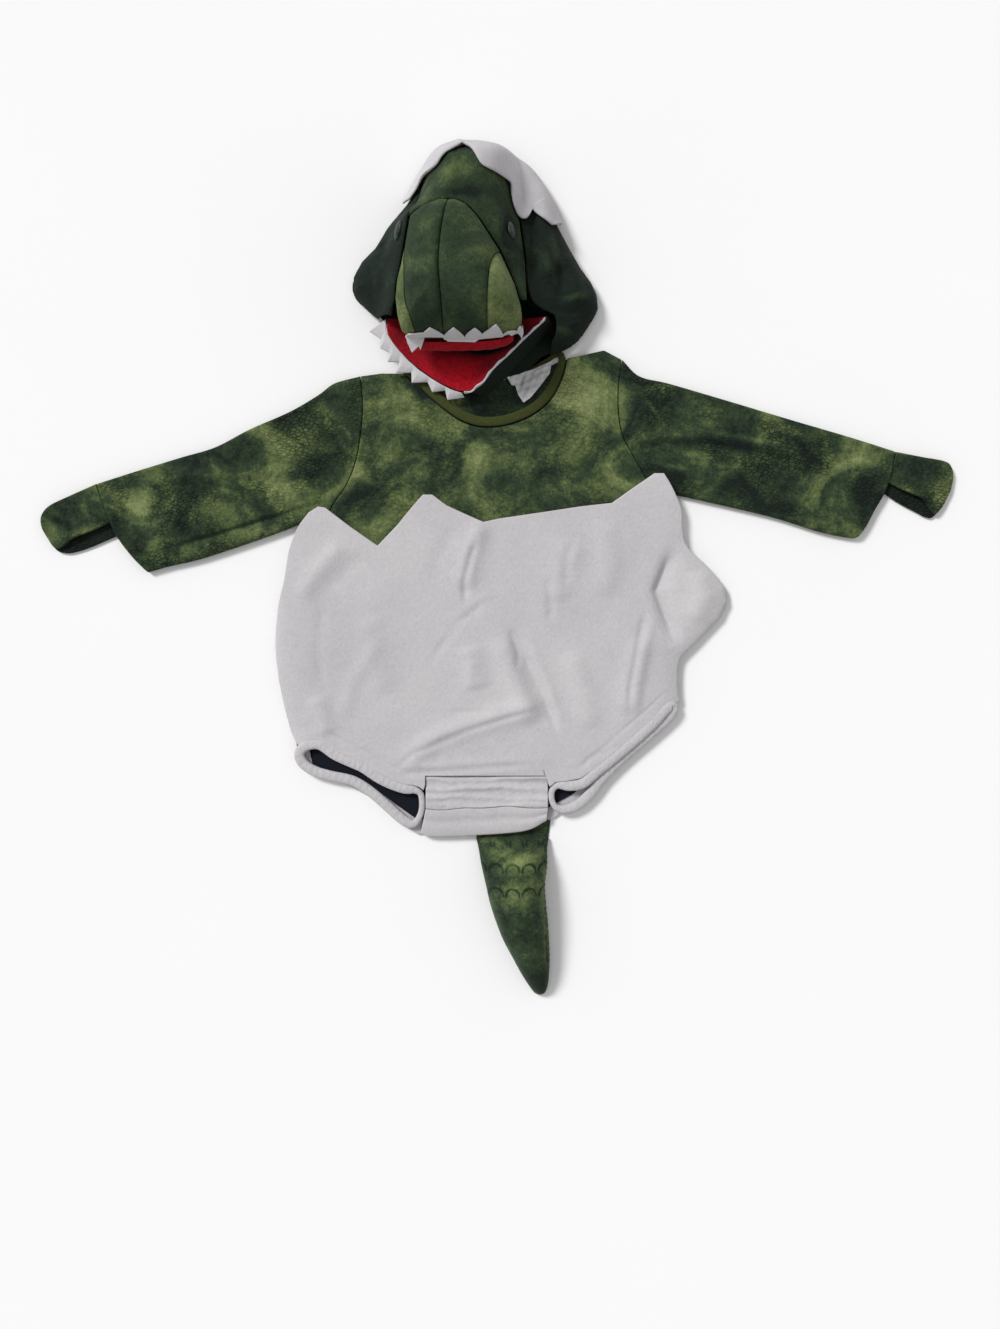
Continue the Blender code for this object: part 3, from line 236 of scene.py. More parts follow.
def depth_inside(x: Array, y: Array, outline: Line) -> Array:
    """How deep a plan point lies inside an outline.

    Args:
        x, y: Where to measure.
        outline: The outline's corners.

    Returns:
        The distance to the outline, 0 outside it.
    """
    away, _ = line_distance(x, y, outline, closed=True)
    inside = np.zeros(np.shape(x), bool)
    corners = np.asarray(outline, float)
    for a, b in zip(corners, np.roll(corners, -1, axis=0)):
        if a[1] == b[1]:
            continue
        crosses = (a[1] > y) != (b[1] > y)
        inside ^= crosses & (x < a[0] + (y - a[1]) * (b[0] - a[0]) / (b[1] - a[1]))
    return np.where(inside, away, 0.0)


@dataclass(frozen=True)
class Fold:
    """A soft ridge, or a trough where height is below 0.

    Attributes:
        line: Where its middle runs.
        width: How far its sides reach.
        height: How far it stands up.
        lean: Below or above 0 makes one side steeper than the other.
    """

    line: Line
    width: float
    height: float
    lean: float = 0.0

    def at(self, x: Array, y: Array) -> Array:
        """Height that the fold adds: a bell across it that fades out at both ends.

        Args:
            x, y: Where to measure.

        Returns:
            The height.
        """
        away, place = line_distance(x, y, self.line)
        width = self.width
        if self.lean:
            (ax, ay), (bx, by) = self.line[0], self.line[-1]
            side = np.sign((bx - ax) * (y - ay) - (by - ay) * (x - ax))
            width = self.width * (1.0 + self.lean * side)
        ends = soft_step(4 * place + 0.25) * soft_step(4.25 - 4 * place)
        return self.height * np.exp(-((away / width) ** 2)) * ends


def folds(x: Array, y: Array, table: Sequence[Fold]) -> Array:
    """Height that several folds add."""
    return sum((fold.at(x, y) for fold in table), np.zeros(np.shape(x)))


def relaxed(values: Array, rounds: int) -> Array:
    """Even out the kinks of a grid of heights.

    Args:
        values: The heights.
        rounds: How many times each is drawn towards its neighbours.

    Returns:
        The softened heights.
    """
    for _ in range(rounds):
        wide = np.pad(values, 1, mode="edge")
        values = 0.5 * values + 0.125 * (wide[:-2, 1:-1] + wide[2:, 1:-1] + wide[1:-1, :-2] + wide[1:-1, 2:])
    return values


def ripple(x: Array, y: Array, size: float, seed: float) -> Array:
    """Gentle unevenness of lying cloth: five crossed waves of about one size.

    Args:
        x, y: Where to measure.
        size: Length of the waves.
        seed: What tells one cloth from another.

    Returns:
        A height between about -1 and 1.
    """
    total = np.zeros(np.shape(x))
    for k in range(5):
        angle = seed + 2.4 * k
        wave = 2 * np.pi / (size * (0.7 + 0.17 * k))
        total += np.sin(wave * (x * math.cos(angle) + y * math.sin(angle)) + 3.1 * seed + k)
    return total / 4.0


# Meshes from grids


def mesh_object(name: str, points: Array, quads: Array, uv: Array, edge: Array) -> Thing:
    """Make one smooth object.

    Args:
        name: Its name.
        points: Its points in millimetres, in the tables' own frame.
        quads: Its faces.
        uv: How far each point lies along and across the cloth, in millimetres.
        edge: How far each point lies from the cloth's edge, in millimetres.

    Returns:
        The object, at the origin.
    """
    data = bpy.data.meshes.new(name + SEWN)
    quads = np.ascontiguousarray(quads, np.int32)
    data.vertices.add(len(points))
    data.vertices.foreach_set("co", ((points + TO_MIDDLE) * MM).astype(np.float32).ravel())
    data.loops.add(quads.size)
    data.loops.foreach_set("vertex_index", quads.ravel())
    data.polygons.add(len(quads))
    data.polygons.foreach_set("loop_start", np.arange(0, quads.size, 4, dtype=np.int32))
    data.polygons.foreach_set("use_smooth", np.ones(len(quads), bool))
    layer = data.uv_layers.new(name="cloth")
    layer.data.foreach_set("uv", (uv[quads.ravel()] * MM).astype(np.float32).ravel())
    rim = data.attributes.new("edge", "FLOAT", "POINT")
    rim.data.foreach_set("value", (edge * MM).astype(np.float32))
    data.update(calc_edges=True)
    data.validate()
    thing = bpy.data.objects.new(name + SEWN, data)
    bpy.context.scene.collection.objects.link(thing)
    return thing


def grid_quads(rows: int, columns: int, start: int = 0, round_rows: bool = False,
               round_columns: bool = False) -> Array:
    """Faces between the points of a grid.

    Args:
        rows: How many rows.
        columns: How many columns.
        start: The number of the grid's first point.
        round_rows: Whether the last row joins the first.
        round_columns: Whether the last column joins the first.

    Returns:
        Four point numbers for each face.
    """
    i = np.arange(rows if round_rows else rows - 1)[:, None]
    j = np.arange(columns if round_columns else columns - 1)[None, :]
    k, m = (i + 1) % rows, (j + 1) % columns
    corners = [i * columns + j, k * columns + j, k * columns + m, i * columns + m]
    return np.stack([c + 0 * (i + j) for c in corners], axis=-1).reshape(-1, 4) + start


def lengths_along(grid: Array) -> tuple[Array, Array, Array]:
    """Measure a grid along its rows and columns.

    Args:
        grid: Its points.

    Returns:
        Mean distance along the rows, mean distance along the columns, and each point's distance to the rim.
    """
    down = np.linalg.norm(np.diff(grid, axis=0), axis=2)
    over = np.linalg.norm(np.diff(grid, axis=1), axis=2)
    down = np.concatenate([np.zeros((1, grid.shape[1])), np.cumsum(down, axis=0)])
    over = np.concatenate([np.zeros((grid.shape[0], 1)), np.cumsum(over, axis=1)], axis=1)
    rim = np.minimum(np.minimum(down, down[-1:] - down), np.minimum(over, over[:, -1:] - over))
    return down, over, rim


def between(name: str, top: Array, bottom: Array, layers: int = 1, middle: Array | None = None) -> Thing:
    """A closed body between two grids of the same size.

    Args:
        name: The object's name.
        top: Grid of its upper side.
        bottom: Grid of its lower side.
        layers: How many rows of faces its sides have.
        middle: What its lengths are measured on, where that isn't its top.

    Returns:
        The object.
    """
    middle = top if middle is None else middle
    rows, columns = top.shape[:2]
    down, over, rim = lengths_along(middle)
    count = rows * columns
    index = np.arange(count).reshape(rows, columns)
    around = np.concatenate([index[:-1, 0], index[-1, :-1], index[:0:-1, -1], index[0, :0:-1]])
    levels = [around]
    points = [top.reshape(-1, 3), bottom.reshape(-1, 3)]
    uv = [np.dstack([down, over]).reshape(-1, 2)] * 2
    edge = [rim.ravel()] * 2
    for k in range(1, layers):
        share = k / layers
        points.append(points[0][around] * (1 - share) + points[1][around] * share)
        uv.append(uv[0][around])
        edge.append(0.0 * edge[0][around])
        levels.append(2 * count + (k - 1) * len(around) + np.arange(len(around)))
    levels.append(around + count)
    upper = grid_quads(rows, columns)
    pairs = zip(levels, levels[1:])
    sides = np.vstack([np.column_stack([a, b, np.roll(b, -1), np.roll(a, -1)]) for a, b in pairs])
    if np.cross(middle[1, 0] - middle[0, 0], middle[0, 1] - middle[0, 0])[2] < 0:
        upper, sides = upper[:, ::-1], sides[:, ::-1]
    quads = np.vstack([upper, upper[:, ::-1] + count, sides])
    return mesh_object(name, np.vstack(points), quads, np.vstack(uv), np.concatenate(edge))


def two_sided(name: str, middle: Array, half: Array, rim_round: float) -> Thing:
    """Closed cloth on both sides of a middle surface, thinned to a rounded edge.

    Args:
        name: The object's name.
        middle: Grid of the middle surface.
        half: Vectors from it to the upper side, as one grid.
        rim_round: How far in from the edge the cloth has its full thickness.

    Returns:
        The object.
    """
    _, _, rim = lengths_along(middle)
    fullness = (0.10 + 0.90 * quarter_round(rim / rim_round))[..., None]
    return between(name, middle + half * fullness, middle - half * fullness, middle=middle)


def lying_cloth(name: str, plan: Array, under: Array, thickness: float, rim_round: float = 1.3) -> Thing:
    """Cloth whose underside is at a height over its plan.

    Args:
        name: The object's name.
        plan: Grid of plan points.
        under: Height of the underside.
        thickness: Thickness of the cloth.
        rim_round: How far in from the edge it has its full thickness.

    Returns:
        The object.
    """
    middle = np.dstack([plan, under + 0.5 * thickness])
    half = np.zeros_like(middle)
    half[..., 2] = 0.5 * thickness
    return two_sided(name, middle, half, rim_round)


def standing_off(plan: Array, height: Height, step: float = 0.6) -> tuple[Array, Array]:
    """Put a plan on a curved form.

    Args:
        plan: Grid of plan points.
        height: The form.
        step: How far apart the slope is measured.

    Returns:
        The points on the form, and the unit directions that stand off it.
    """
    x, y = plan[..., 0], plan[..., 1]
    slope_x = (height(x + step, y) - height(x - step, y)) / (2 * step)
    slope_y = (height(x, y + step) - height(x, y - step)) / (2 * step)
    off = np.dstack([-slope_x, -slope_y, np.ones_like(x)])
    return np.dstack([plan, height(x, y)]), off / np.linalg.norm(off, axis=2)[..., None]


def domed_cloth(name: str, plan: Array, height: Height, above: float, below: float,
                least: Height | None = None, rim_round: float = 1.3, soften: int = 0) -> Thing:
    """Cloth of even thickness over a curved form.

    Args:
        name: The object's name.
        plan: Grid of plan points.
        height: The form.
        above: How far its upper side stands off the form.
        below: How far its lower side does.
        least: The lowest that it may hang.
        rim_round: How far in from the edge it has its full thickness.
        soften: How many times its kinks are evened out.

    Returns:
        The object.
    """
    points, off = standing_off(plan, height)
    points[..., 2] = relaxed(points[..., 2], soften)
    off = np.dstack([relaxed(part, soften) for part in np.moveaxis(off, 2, 0)])
    off /= np.linalg.norm(off, axis=2)[..., None]
    middle = points + off * 0.5 * (above + below)
    if least is not None:
        middle[..., 2] = np.maximum(middle[..., 2], least(plan[..., 0], plan[..., 1]) + 0.6)
    return two_sided(name, middle, off * 0.5 * (above - below), rim_round)


def skin(name: str, rings: Array, closed: bool = False) -> Thing:
    """A skin over rings of points, its two ends drawn together unless it closes on itself.

    Args:
        name: The object's name.
        rings: Grid with one ring in each row.
        closed: Whether the last ring joins the first.

    Returns:
        The object.
    """
    rows, columns = rings.shape[:2]
    down, over, _ = lengths_along(rings)
    quads = grid_quads(rows, columns, round_rows=closed, round_columns=True)
    points = rings.reshape(-1, 3)
    uv = np.dstack([down, over]).reshape(-1, 2)
    edge = np.minimum(down, down[-1:] - down).ravel()
    if not closed:
        count, j = rows * columns, np.arange(columns)
        k = (j + 1) % columns
        points = np.vstack([points, rings[0].mean(axis=0), rings[-1].mean(axis=0)])
        uv = np.vstack([uv, uv[:1], uv[-1:]])
        edge = np.append(edge, [0.0, 0.0])
        last = (rows - 1) * columns
        odd = j[::2]
        ends = [np.column_stack([odd, k[odd], (odd + 2) % columns, 0 * odd + count]),
                np.column_stack([last + (odd + 2) % columns, last + k[odd], last + odd, 0 * odd + count + 1])]
        quads = np.vstack([quads] + ends)
    thing = mesh_object(name, points, quads, uv, edge)
    volume = np.einsum("ij,ij->i", points[quads[:, 0]],
                       np.cross(points[quads[:, 1]], points[quads[:, 2]])).sum()
    if volume < 0:
        thing.data.flip_normals()
    return thing


def roll(name: str, path: Array, half_width: Array, half_height: Array, sides: int = 20,
         wave: float = 0.0) -> Thing:
    """A closed roll of cloth along a closed path.

    Args:
        name: The object's name.
        path: Points of its middle.
        half_width: Half its width in plan.
        half_height: Half its height.
        sides: Points round it.
        wave: How far its gathers stand up.

    Returns:
        The object.
    """
    ahead = np.roll(path, -1, axis=0) - np.roll(path, 1, axis=0)
    across = np.column_stack([-ahead[:, 1], ahead[:, 0]])
    across /= np.linalg.norm(across, axis=1)[:, None]
    turn = 2 * np.pi * (np.arange(sides) + 0.5) / sides
    along = np.cumsum(np.linalg.norm(ahead, axis=1)) * 0.5
    gather = 1.0 + wave * (np.sin(along * 1.15) + 0.6 * np.sin(along * 0.53 + 1.0))[:, None]
    bulge = np.sign(np.cos(turn)) * np.abs(np.cos(turn)) ** 0.8
    wide = np.broadcast_to(half_width, len(path))[:, None] * bulge
    tall = np.broadcast_to(half_height, len(path))[:, None] * np.sin(turn) * gather
    rings = np.dstack(
        [path[:, :1] + across[:, :1] * wide, path[:, 1:2] + across[:, 1:] * wide, path[:, 2:] + tall])
    return skin(name, rings, closed=True)


# Finishes


class Shade(Enum):
    """Base colours, as linear red, green and blue."""

    GREEN_DARK = (0.0085, 0.0150, 0.0110)
    GREEN = (0.0300, 0.0500, 0.0240)
    GREEN_LIGHT = (0.0980, 0.1300, 0.0480)
    GREEN_PALE = (0.2150, 0.2500, 0.1050)
    FLEECE = (0.560, 0.542, 0.556)
    FLEECE_SHADE = (0.495, 0.480, 0.495)
    RED = (0.420, 0.006, 0.016)
    RED_SHADE = (0.210, 0.002, 0.008)
    FELT = (0.600, 0.585, 0.600)
    NAVY = (0.006, 0.008, 0.014)
    OLIVE = (0.060, 0.072, 0.018)
    SATIN = (0.600, 0.590, 0.600)
    FLOOR = (0.930, 0.930, 0.930)


def rgba(shade: Shade, dim: float = 1.0) -> tuple:
    """A shade, dimmed, with full opacity."""
    return (*(dim * part for part in shade.value), 1.0)


class Nodes:
    """A node tree being filled in."""

    def __init__(self, tree: Tree) -> None:
        """Take the tree to fill in."""
        self.tree = tree

    def add(self, kind: str, settings: dict | None = None, **inputs: object) -> Node:
        """Add a node.

        Args:
            kind: The node's class name without its ShaderNode prefix, or in full.
            settings: Its properties.
            inputs: Its inputs by name, with _ for a space, or by i and a number: a value or a socket.

        Returns:
            The node.
        """
        node = self.tree.nodes.new(kind if kind.startswith("Node") else "ShaderNode" + kind)
        for name, value in (settings or {}).items():
            setattr(node, name, value)
        for name, value in inputs.items():
            numbered = name[0] == "i" and name[1:].isdigit()
            socket = node.inputs[int(name[1:]) if numbered else name.replace("_", " ")]
            if isinstance(value, Socket):
                self.tree.links.new(value, socket)
            else:
                socket.default_value = value
        return node

    def math(self, operation: str, a: object, b: object = 0.0, c: object = 0.0) -> Socket:
        """Add a sum of up to three values or sockets, and give its result."""
        return self.add("Math", {"operation": operation}, i0=a, i1=b, i2=c).outputs[0]

    def ramp(self, factor: Socket, stops: Sequence[tuple]) -> Socket:
        """Add a colour ramp.

        Args:
            factor: What it reads.
            stops: Places and colours.

        Returns:
            The colour's socket.
        """
        node = self.add("ValToRGB", Fac=factor)
        band = node.color_ramp.elements
        while len(band) < len(stops):
            band.new(0.5)
        for element, (place, colour) in zip(band, stops):
            element.position, element.color = place, colour
        return node.outputs[0]

    def mix(self, blend: str, factor: object, a: object, b: object) -> Socket:
        """Mix two colours or sockets, and give the result."""
        node = self.add("Mix", {"data_type": "RGBA", "blend_type": blend}, i0=factor, i6=a, i7=b)
        return node.outputs[2]


def effect(name: str, inputs: dict[str, float]) -> tuple[Nodes, Node, Node]:
    """Start a group of nodes that several materials share.

    Args:
        name: The group's name.
        inputs: Names and values of what it takes.

    Returns:
        The tree to fill in, its input node and its output node.
    """
    tree = bpy.data.node_groups.new(name, "ShaderNodeTree")
    for label, value in inputs.items():
        tree.interface.new_socket(label, in_out="INPUT", socket_type="NodeSocketFloat").default_value = value
    tree.interface.new_socket("Value", in_out="OUTPUT", socket_type="NodeSocketFloat")
    nodes = Nodes(tree)
    return nodes, nodes.add("NodeGroupInput"), nodes.add("NodeGroupOutput")


@dataclass
class Effects:
    """Groups of nodes that the cloths share.

    Attributes:
        mottle: Cloudy patches, from 0 to 1.
        scales: Pressed scales: 1 on their faces, 0 in the grooves.
        pile: Short fibres, around 0.5.
    """

    mottle: Tree = field(init=False)
    scales: Tree = field(init=False)
    pile: Tree = field(init=False)

    def __post_init__(self) -> None:
        """Build each group once."""
        self.mottle = self._mottle()
        self.scales = self._scales()
        self.pile = self._pile()

    def _mottle(self) -> Tree:
        """Three sizes of noise, the largest bent by the next, stretched about its middle.

        Returns:
            The group.
        """
        n, taken, given = effect("Mottle", {"Size": 22.0})
        where = n.add("TexCoord").outputs["Object"]
        big = n.add("TexNoise", Vector=where, Scale=taken.outputs[0], Detail=3.0, Roughness=0.55,
                    Distortion=0.9)
        fine = n.add("TexNoise", Vector=where, Scale=150.0, Detail=4.0, Roughness=0.7)
        speck = n.add("TexNoise", Vector=where, Scale=520.0, Detail=2.0, Roughness=0.6)
        value = n.math("MULTIPLY_ADD", big.outputs["Fac"], 2.3, -0.65)
        value = n.math("MULTIPLY_ADD", fine.outputs["Fac"], 0.75, n.math("SUBTRACT", value, 0.375))
        value = n.math("MULTIPLY_ADD", speck.outputs["Fac"], 0.55, n.math("SUBTRACT", value, 0.275))
        n.tree.links.new(value, given.inputs[0])
        return n.tree

    def _scales(self) -> Tree:
        """Cells of one size, longer one way, whose borders are soft grooves.

        Returns:
            The group.
        """
        n, taken, given = effect("Scales", {"Size": 215.0, "Groove": 0.16})
        where = n.add("TexCoord").outputs["Object"]
        bent = n.add("TexNoise", Vector=where, Scale=60.0, Detail=1.0)
        shift = n.add("VectorMath", {"operation": "SCALE"}, i0=bent.outputs["Color"], Scale=0.006)
        moved = n.add("VectorMath", {"operation": "ADD"}, i0=where, i1=shift.outputs[0])
        slim = n.add("Mapping", Vector=moved.outputs[0], Scale=(0.72, 1.3, 1.0), Rotation=(0.0, 0.0, 0.45))
        cells = n.add("TexVoronoi", {"feature": "DISTANCE_TO_EDGE"}, Vector=slim.outputs[0],
                      Scale=taken.outputs[0], Randomness=0.65)
        face = n.add("MapRange", {"interpolation_type": "SMOOTHSTEP"}, Value=cells.outputs["Distance"])
        n.tree.links.new(taken.outputs[1], face.inputs["From Max"])
        n.tree.links.new(face.outputs[0], given.inputs[0])
        return n.tree

    def _pile(self) -> Tree:
        """Fine noise drawn out one way like brushed fibres, over a coarser one.

        Returns:
            The group.
        """
        n, taken, given = effect("Pile", {"Size": 1400.0})
        where = n.add("TexCoord").outputs["Object"]
        brushed = n.add("Mapping", Vector=where, Scale=(1.0, 0.45, 1.0), Rotation=(0.0, 0.0, 0.35))
        fibre = n.add("TexNoise", Vector=brushed.outputs[0], Scale=taken.outputs[0], Detail=2.0,
                      Roughness=0.6)
        tuft = n.add("TexNoise", Vector=where, Scale=330.0, Detail=2.0)
        value = n.math("MULTIPLY_ADD", tuft.outputs["Fac"], 0.45,
                       n.math("MULTIPLY", fibre.outputs["Fac"], 0.55))
        n.tree.links.new(value, given.inputs[0])
        return n.tree


@dataclass
class Finish:
    """A cloth's material.

    Attributes:
        name: The material's name.
        effects: The shared groups.
        roughness: Of the surface.
        sheen: How much light its fibres catch.
        tint: The colour of that light.
        gloss: How much it mirrors.
        sheen_roughness: How widely its fibres scatter that light.
    """

    name: str
    effects: Effects
    roughness: float = 0.9
    sheen: float = 0.25
    tint: tuple = (1.0, 1.0, 1.0, 1.0)
    gloss: float = 0.18
    sheen_roughness: float = 0.45

    def start(self) -> tuple[Material, Nodes, Node]:
        """Make the material and its shader.

        Returns:
            The material, its tree and its Principled node.
        """
        material = bpy.data.materials.new(self.name)
        material.use_nodes = True
        nodes = Nodes(material.node_tree)
        shader = material.node_tree.nodes["Principled BSDF"]
        shader.inputs["Roughness"].default_value = self.roughness
        shader.inputs["Specular IOR Level"].default_value = self.gloss
        shader.inputs["Sheen Weight"].default_value = self.sheen
        shader.inputs["Sheen Roughness"].default_value = self.sheen_roughness
        shader.inputs["Sheen Tint"].default_value = self.tint
        return material, nodes, shader

    def group(self, nodes: Nodes, tree: Tree, **inputs: float) -> Socket:
        """Use a shared group.

        Args:
            nodes: Where.
            tree: The group.
            inputs: Its values.

        Returns:
            Its first output.
        """
        node = nodes.tree.nodes.new("ShaderNodeGroup")
        node.node_tree = tree
        for name, value in inputs.items():
            node.inputs[name].default_value = value
        return node.outputs[0]

    def relief(self, nodes: Nodes, shader: Node, layers: Sequence[tuple]) -> None:
        """Lay bumps over each other.

        Args:
            nodes: Where.
            shader: What takes them.
            layers: Height sockets with their depth in metres and strength.
        """
        normal = None
        for height, depth, strength in layers:
            bump = nodes.add("Bump", Height=height, Distance=depth, Strength=strength)
            if normal is not None:
                nodes.tree.links.new(normal, bump.inputs["Normal"])
            normal = bump.outputs[0]
        nodes.tree.links.new(normal, shader.inputs["Normal"])


@dataclass
class Velour(Finish):
    """Mottled green velour with pressed scales.

    Attributes:
        patches: How many patches for each metre.
        variation: How much they differ.
        shift: Below 0 is darker, above 0 lighter.
        pressed: How deep the scales are pressed, and how dark the painted shade in their grooves is.
        scale_size: How many scales for each metre.
    """

    patches: float = 21.0
    variation: float = 0.8
    shift: float = 0.08
    pressed: float = 0.6
    scale_size: float = 215.0
    sheen: float = 0.05
    tint: tuple = (0.55, 0.75, 0.45, 1.0)

    def build(self) -> Material:
        """Make the material.

        Returns:
            The material.
        """
        material, n, shader = self.start()
        cloud = self.group(n, self.effects.mottle, Size=self.patches)
        scale = self.group(n, self.effects.scales, Size=self.scale_size)
        pile = self.group(n, self.effects.pile)
        # Per-point tone painted on the piece: dye patches, and on some pieces painted highlights and shade
        dye_and_light = n.add("Attribute", {"attribute_name": "tone"}).outputs["Fac"]
        level = n.math("ADD", n.math("MULTIPLY_ADD", cloud, self.variation, self.shift), dye_and_light)
        tone = n.ramp(level, [
            (0.10, rgba(Shade.GREEN_DARK)), (0.40, rgba(Shade.GREEN)), (0.66, rgba(Shade.GREEN_LIGHT)),
            (0.98, rgba(Shade.GREEN_PALE))])
        where = n.add("TexCoord").outputs["Object"]
        worn = n.add("TexNoise", Vector=where, Scale=26.0, Detail=2.0).outputs["Fac"]
        shown = n.math("MULTIPLY", n.add("MapRange", Value=worn, From_Min=0.40, From_Max=0.62).outputs[0],
                       self.pressed)
        # Painted shade: the colour is darkened in the grooves between the pressed scales
        groove_shade = n.ramp(scale, [(0.0, (0.30, 0.33, 0.31, 1.0)), (0.7, (1.0, 1.0, 1.0, 1.0))])
        tone = n.mix("MULTIPLY", shown, tone, groove_shade)
        fibre = n.ramp(pile, [(0.30, (0.62, 0.62, 0.62, 1.0)), (0.70, (1.35, 1.35, 1.30, 1.0))])
        tone = n.mix("MULTIPLY", 0.8, tone, fibre)
        n.tree.links.new(tone, shader.inputs["Base Color"])
        self.relief(n, shader, [(n.math("MULTIPLY", scale, shown), 0.0009, 0.8), (pile, 0.0006, 0.5)])
        return material


@dataclass
class Napped(Finish):
    """Plain cloth with a short nap.

    Attributes:
        shade: Its colour.
        deep: Its colour between the fibres.
        nap: How rough it looks.
        size: How many fibres for each metre.
    """

    shade: Shade = Shade.FLEECE
    deep: Shade = Shade.FLEECE_SHADE
    nap: float = 0.5
    size: float = 900.0

    def build(self) -> Material:
        """Make the material.

        Returns:
            The material.
        """
        material, n, shader = self.start()
        pile = self.group(n, self.effects.pile, Size=self.size)
        cloud = self.group(n, self.effects.mottle, Size=9.0)
        tone = n.ramp(pile, [(0.34, rgba(self.deep)), (0.66, rgba(self.shade))])
        worn = n.ramp(cloud, [(0.0, (0.93, 0.925, 0.935, 1.0)), (1.0, (1.05, 1.05, 1.045, 1.0))])
        tone = n.mix("MULTIPLY", 1.0, tone, worn)
        # Per-point tone painted on the piece: dye patches, and on some pieces painted highlights and shade
        dye_and_light = n.add("Attribute", {"attribute_name": "tone"}).outputs["Fac"]
        tone = n.mix("MULTIPLY", 1.0, tone, n.math("ADD", dye_and_light, 1.0))
        n.tree.links.new(tone, shader.inputs["Base Color"])
        self.relief(n, shader, [(pile, 0.0010, self.nap)])
        return material


@dataclass
class Ribbed(Finish):
    """Knit whose ribs run across the piece.

    Attributes:
        shade: Its colour.
        ribs: How many ribs for each metre.
        depth: How deep they are.
    """

    shade: Shade = Shade.OLIVE
    ribs: float = 900.0
    depth: float = 0.0004

    def build(self) -> Material:
        """Make the material.

        Returns:
            The material.
        """
        material, n, shader = self.start()
        across = n.add("SeparateXYZ", Vector=n.add("UVMap", {"uv_map": "cloth"}).outputs[0]).outputs[0]
        wave = n.math("SINE", n.math("MULTIPLY", across, self.ribs * 2 * math.pi))
        pile = self.group(n, self.effects.pile)
        # Painted shade: the colour is dimmed in the troughs between the ribs, mixed with the pile's noise
        stops = [(0.25, rgba(self.shade, 0.66)), (0.75, rgba(self.shade))]
        tone = n.ramp(n.math("MULTIPLY_ADD", wave, 0.22, pile), stops)
        n.tree.links.new(tone, shader.inputs["Base Color"])
        self.relief(n, shader, [(wave, self.depth, 0.5), (pile, 0.0004, 0.4)])
        return material


@dataclass
class Glossy(Finish):
    """Dark glass-like plastic for the eyes."""

    roughness: float = 0.42
    gloss: float = 0.2

    def build(self) -> Material:
        """Make the material.

        Returns:
            The material.
        """
        material, n, shader = self.start()
        cloud = self.group(n, self.effects.mottle, Size=120.0)
        tone = n.ramp(cloud, [(0.2, (0.010, 0.016, 0.013, 1.0)), (0.9, (0.045, 0.062, 0.050, 1.0))])
        n.tree.links.new(tone, shader.inputs["Base Color"])
        return material


@dataclass
class Plain(Finish):
    """The floor's smooth pale paper."""

    def build(self) -> Material:
        """Make the material.

        Returns:
            The material.
        """
        material, n, shader = self.start()
        cloud = self.group(n, self.effects.mottle, Size=3.0)
        tone = n.ramp(cloud, [(0.0, rgba(Shade.FLOOR, 0.99)), (1.0, rgba(Shade.FLOOR))])
        n.tree.links.new(tone, shader.inputs["Base Color"])
        return material


@dataclass
class Wardrobe:
    """Every finish of the costume."""

    effects: Effects = field(default_factory=Effects)

    def __post_init__(self) -> None:
        """Make every material."""
        e = self.effects
        self.velour = Velour("velour", e, shift=0.10, pressed=0.5).build()
        self.sleeve = Velour("sleeve_velour", e, pressed=1.0, shift=0.02, scale_size=290.0).build()
        self.hood = Velour("hood_velour", e, sheen=0.02, variation=0.45, shift=-0.20, pressed=0.35).build()
        self.face = Velour("face_velour", e, variation=0.5, shift=0.10, pressed=0.15, patches=15.0).build()
        self.gore = Velour("light_velour", e, sheen=0.06, variation=0.5, shift=0.42, pressed=0.3).build()
        self.tail = Velour("scaled_velour", e, sheen=0.16, shift=0.02, pressed=0.12, patches=16.0).build()
        self.fleece = Napped("fleece", e, sheen=0.06, nap=0.4).build()
        self.fuzz = Napped("hem_fleece", e, sheen=0.06, nap=1.0, size=520.0).build()
        self.cap = Napped("cap_fleece", e, sheen=0.05, nap=0.25).build()
        self.floor = Plain("paper", e, sheen=0.0).build()
        self.lining = Napped("lining", e, shade=Shade.NAVY, deep=Shade.NAVY, sheen=0.02, nap=0.3).build()
        self.red = Napped("red_pile", e, shade=Shade.RED, deep=Shade.RED_SHADE, sheen=0.05, nap=0.4).build()
        self.felt = Napped("felt", e, shade=Shade.FELT, deep=Shade.FLEECE, sheen=0.05, nap=0.6).build()
        self.satin = Napped("satin", e, shade=Shade.SATIN, deep=Shade.SATIN, roughness=0.45, sheen=0.0,
                            nap=0.12).build()
        self.rib = Ribbed("rib", e, sheen=0.08).build()
        self.eye = Glossy("eye", e, sheen=0.0).build()


@dataclass(frozen=True)
class Spot:
    """A soft lighter patch, or darker where amount is below 0: dye patches and painted light and shade.

    Attributes:
        x: Its middle.
        y: Its middle.
        wide: How far it reaches along its own length.
        high: How far it reaches across.
        amount: How much lighter.
        turn: How far its length is turned, in degrees.
    """

    x: float
    y: float
    wide: float
    high: float
    amount: float
    turn: float = 0.0


def dye_and_painted_light(thing: Thing, spots: Sequence[Spot], base: float | Array = 0.0) -> Thing:
    """Paint each point's tone, for dye patches and painted light and shade: the base and the bells of all
    spots.

    Args:
        thing: The piece.
        spots: Its patches.
        base: What the whole piece has, or each of its points.

    Returns:
        The piece.
    """
    data = thing.data
    place = np.empty(len(data.vertices) * 3, np.float32)
    data.vertices.foreach_get("co", place)
    place = place.reshape(-1, 3) / MM - TO_MIDDLE
    tone = np.zeros(len(place), np.float32)
    tone[: np.size(base) if np.ndim(base) else None] += np.ravel(base).astype(np.float32)
    for spot in spots:
        turn = math.radians(spot.turn)
        dx, dy = place[:, 0] - spot.x, place[:, 1] - spot.y
        along = dx * math.cos(turn) + dy * math.sin(turn)
        across = dy * math.cos(turn) - dx * math.sin(turn)
        tone += spot.amount * np.exp(-((along / spot.wide) ** 2) - (across / spot.high) ** 2)
    layer = data.attributes.new("tone", "FLOAT", "POINT")
    layer.data.foreach_set("value", tone)
    return thing


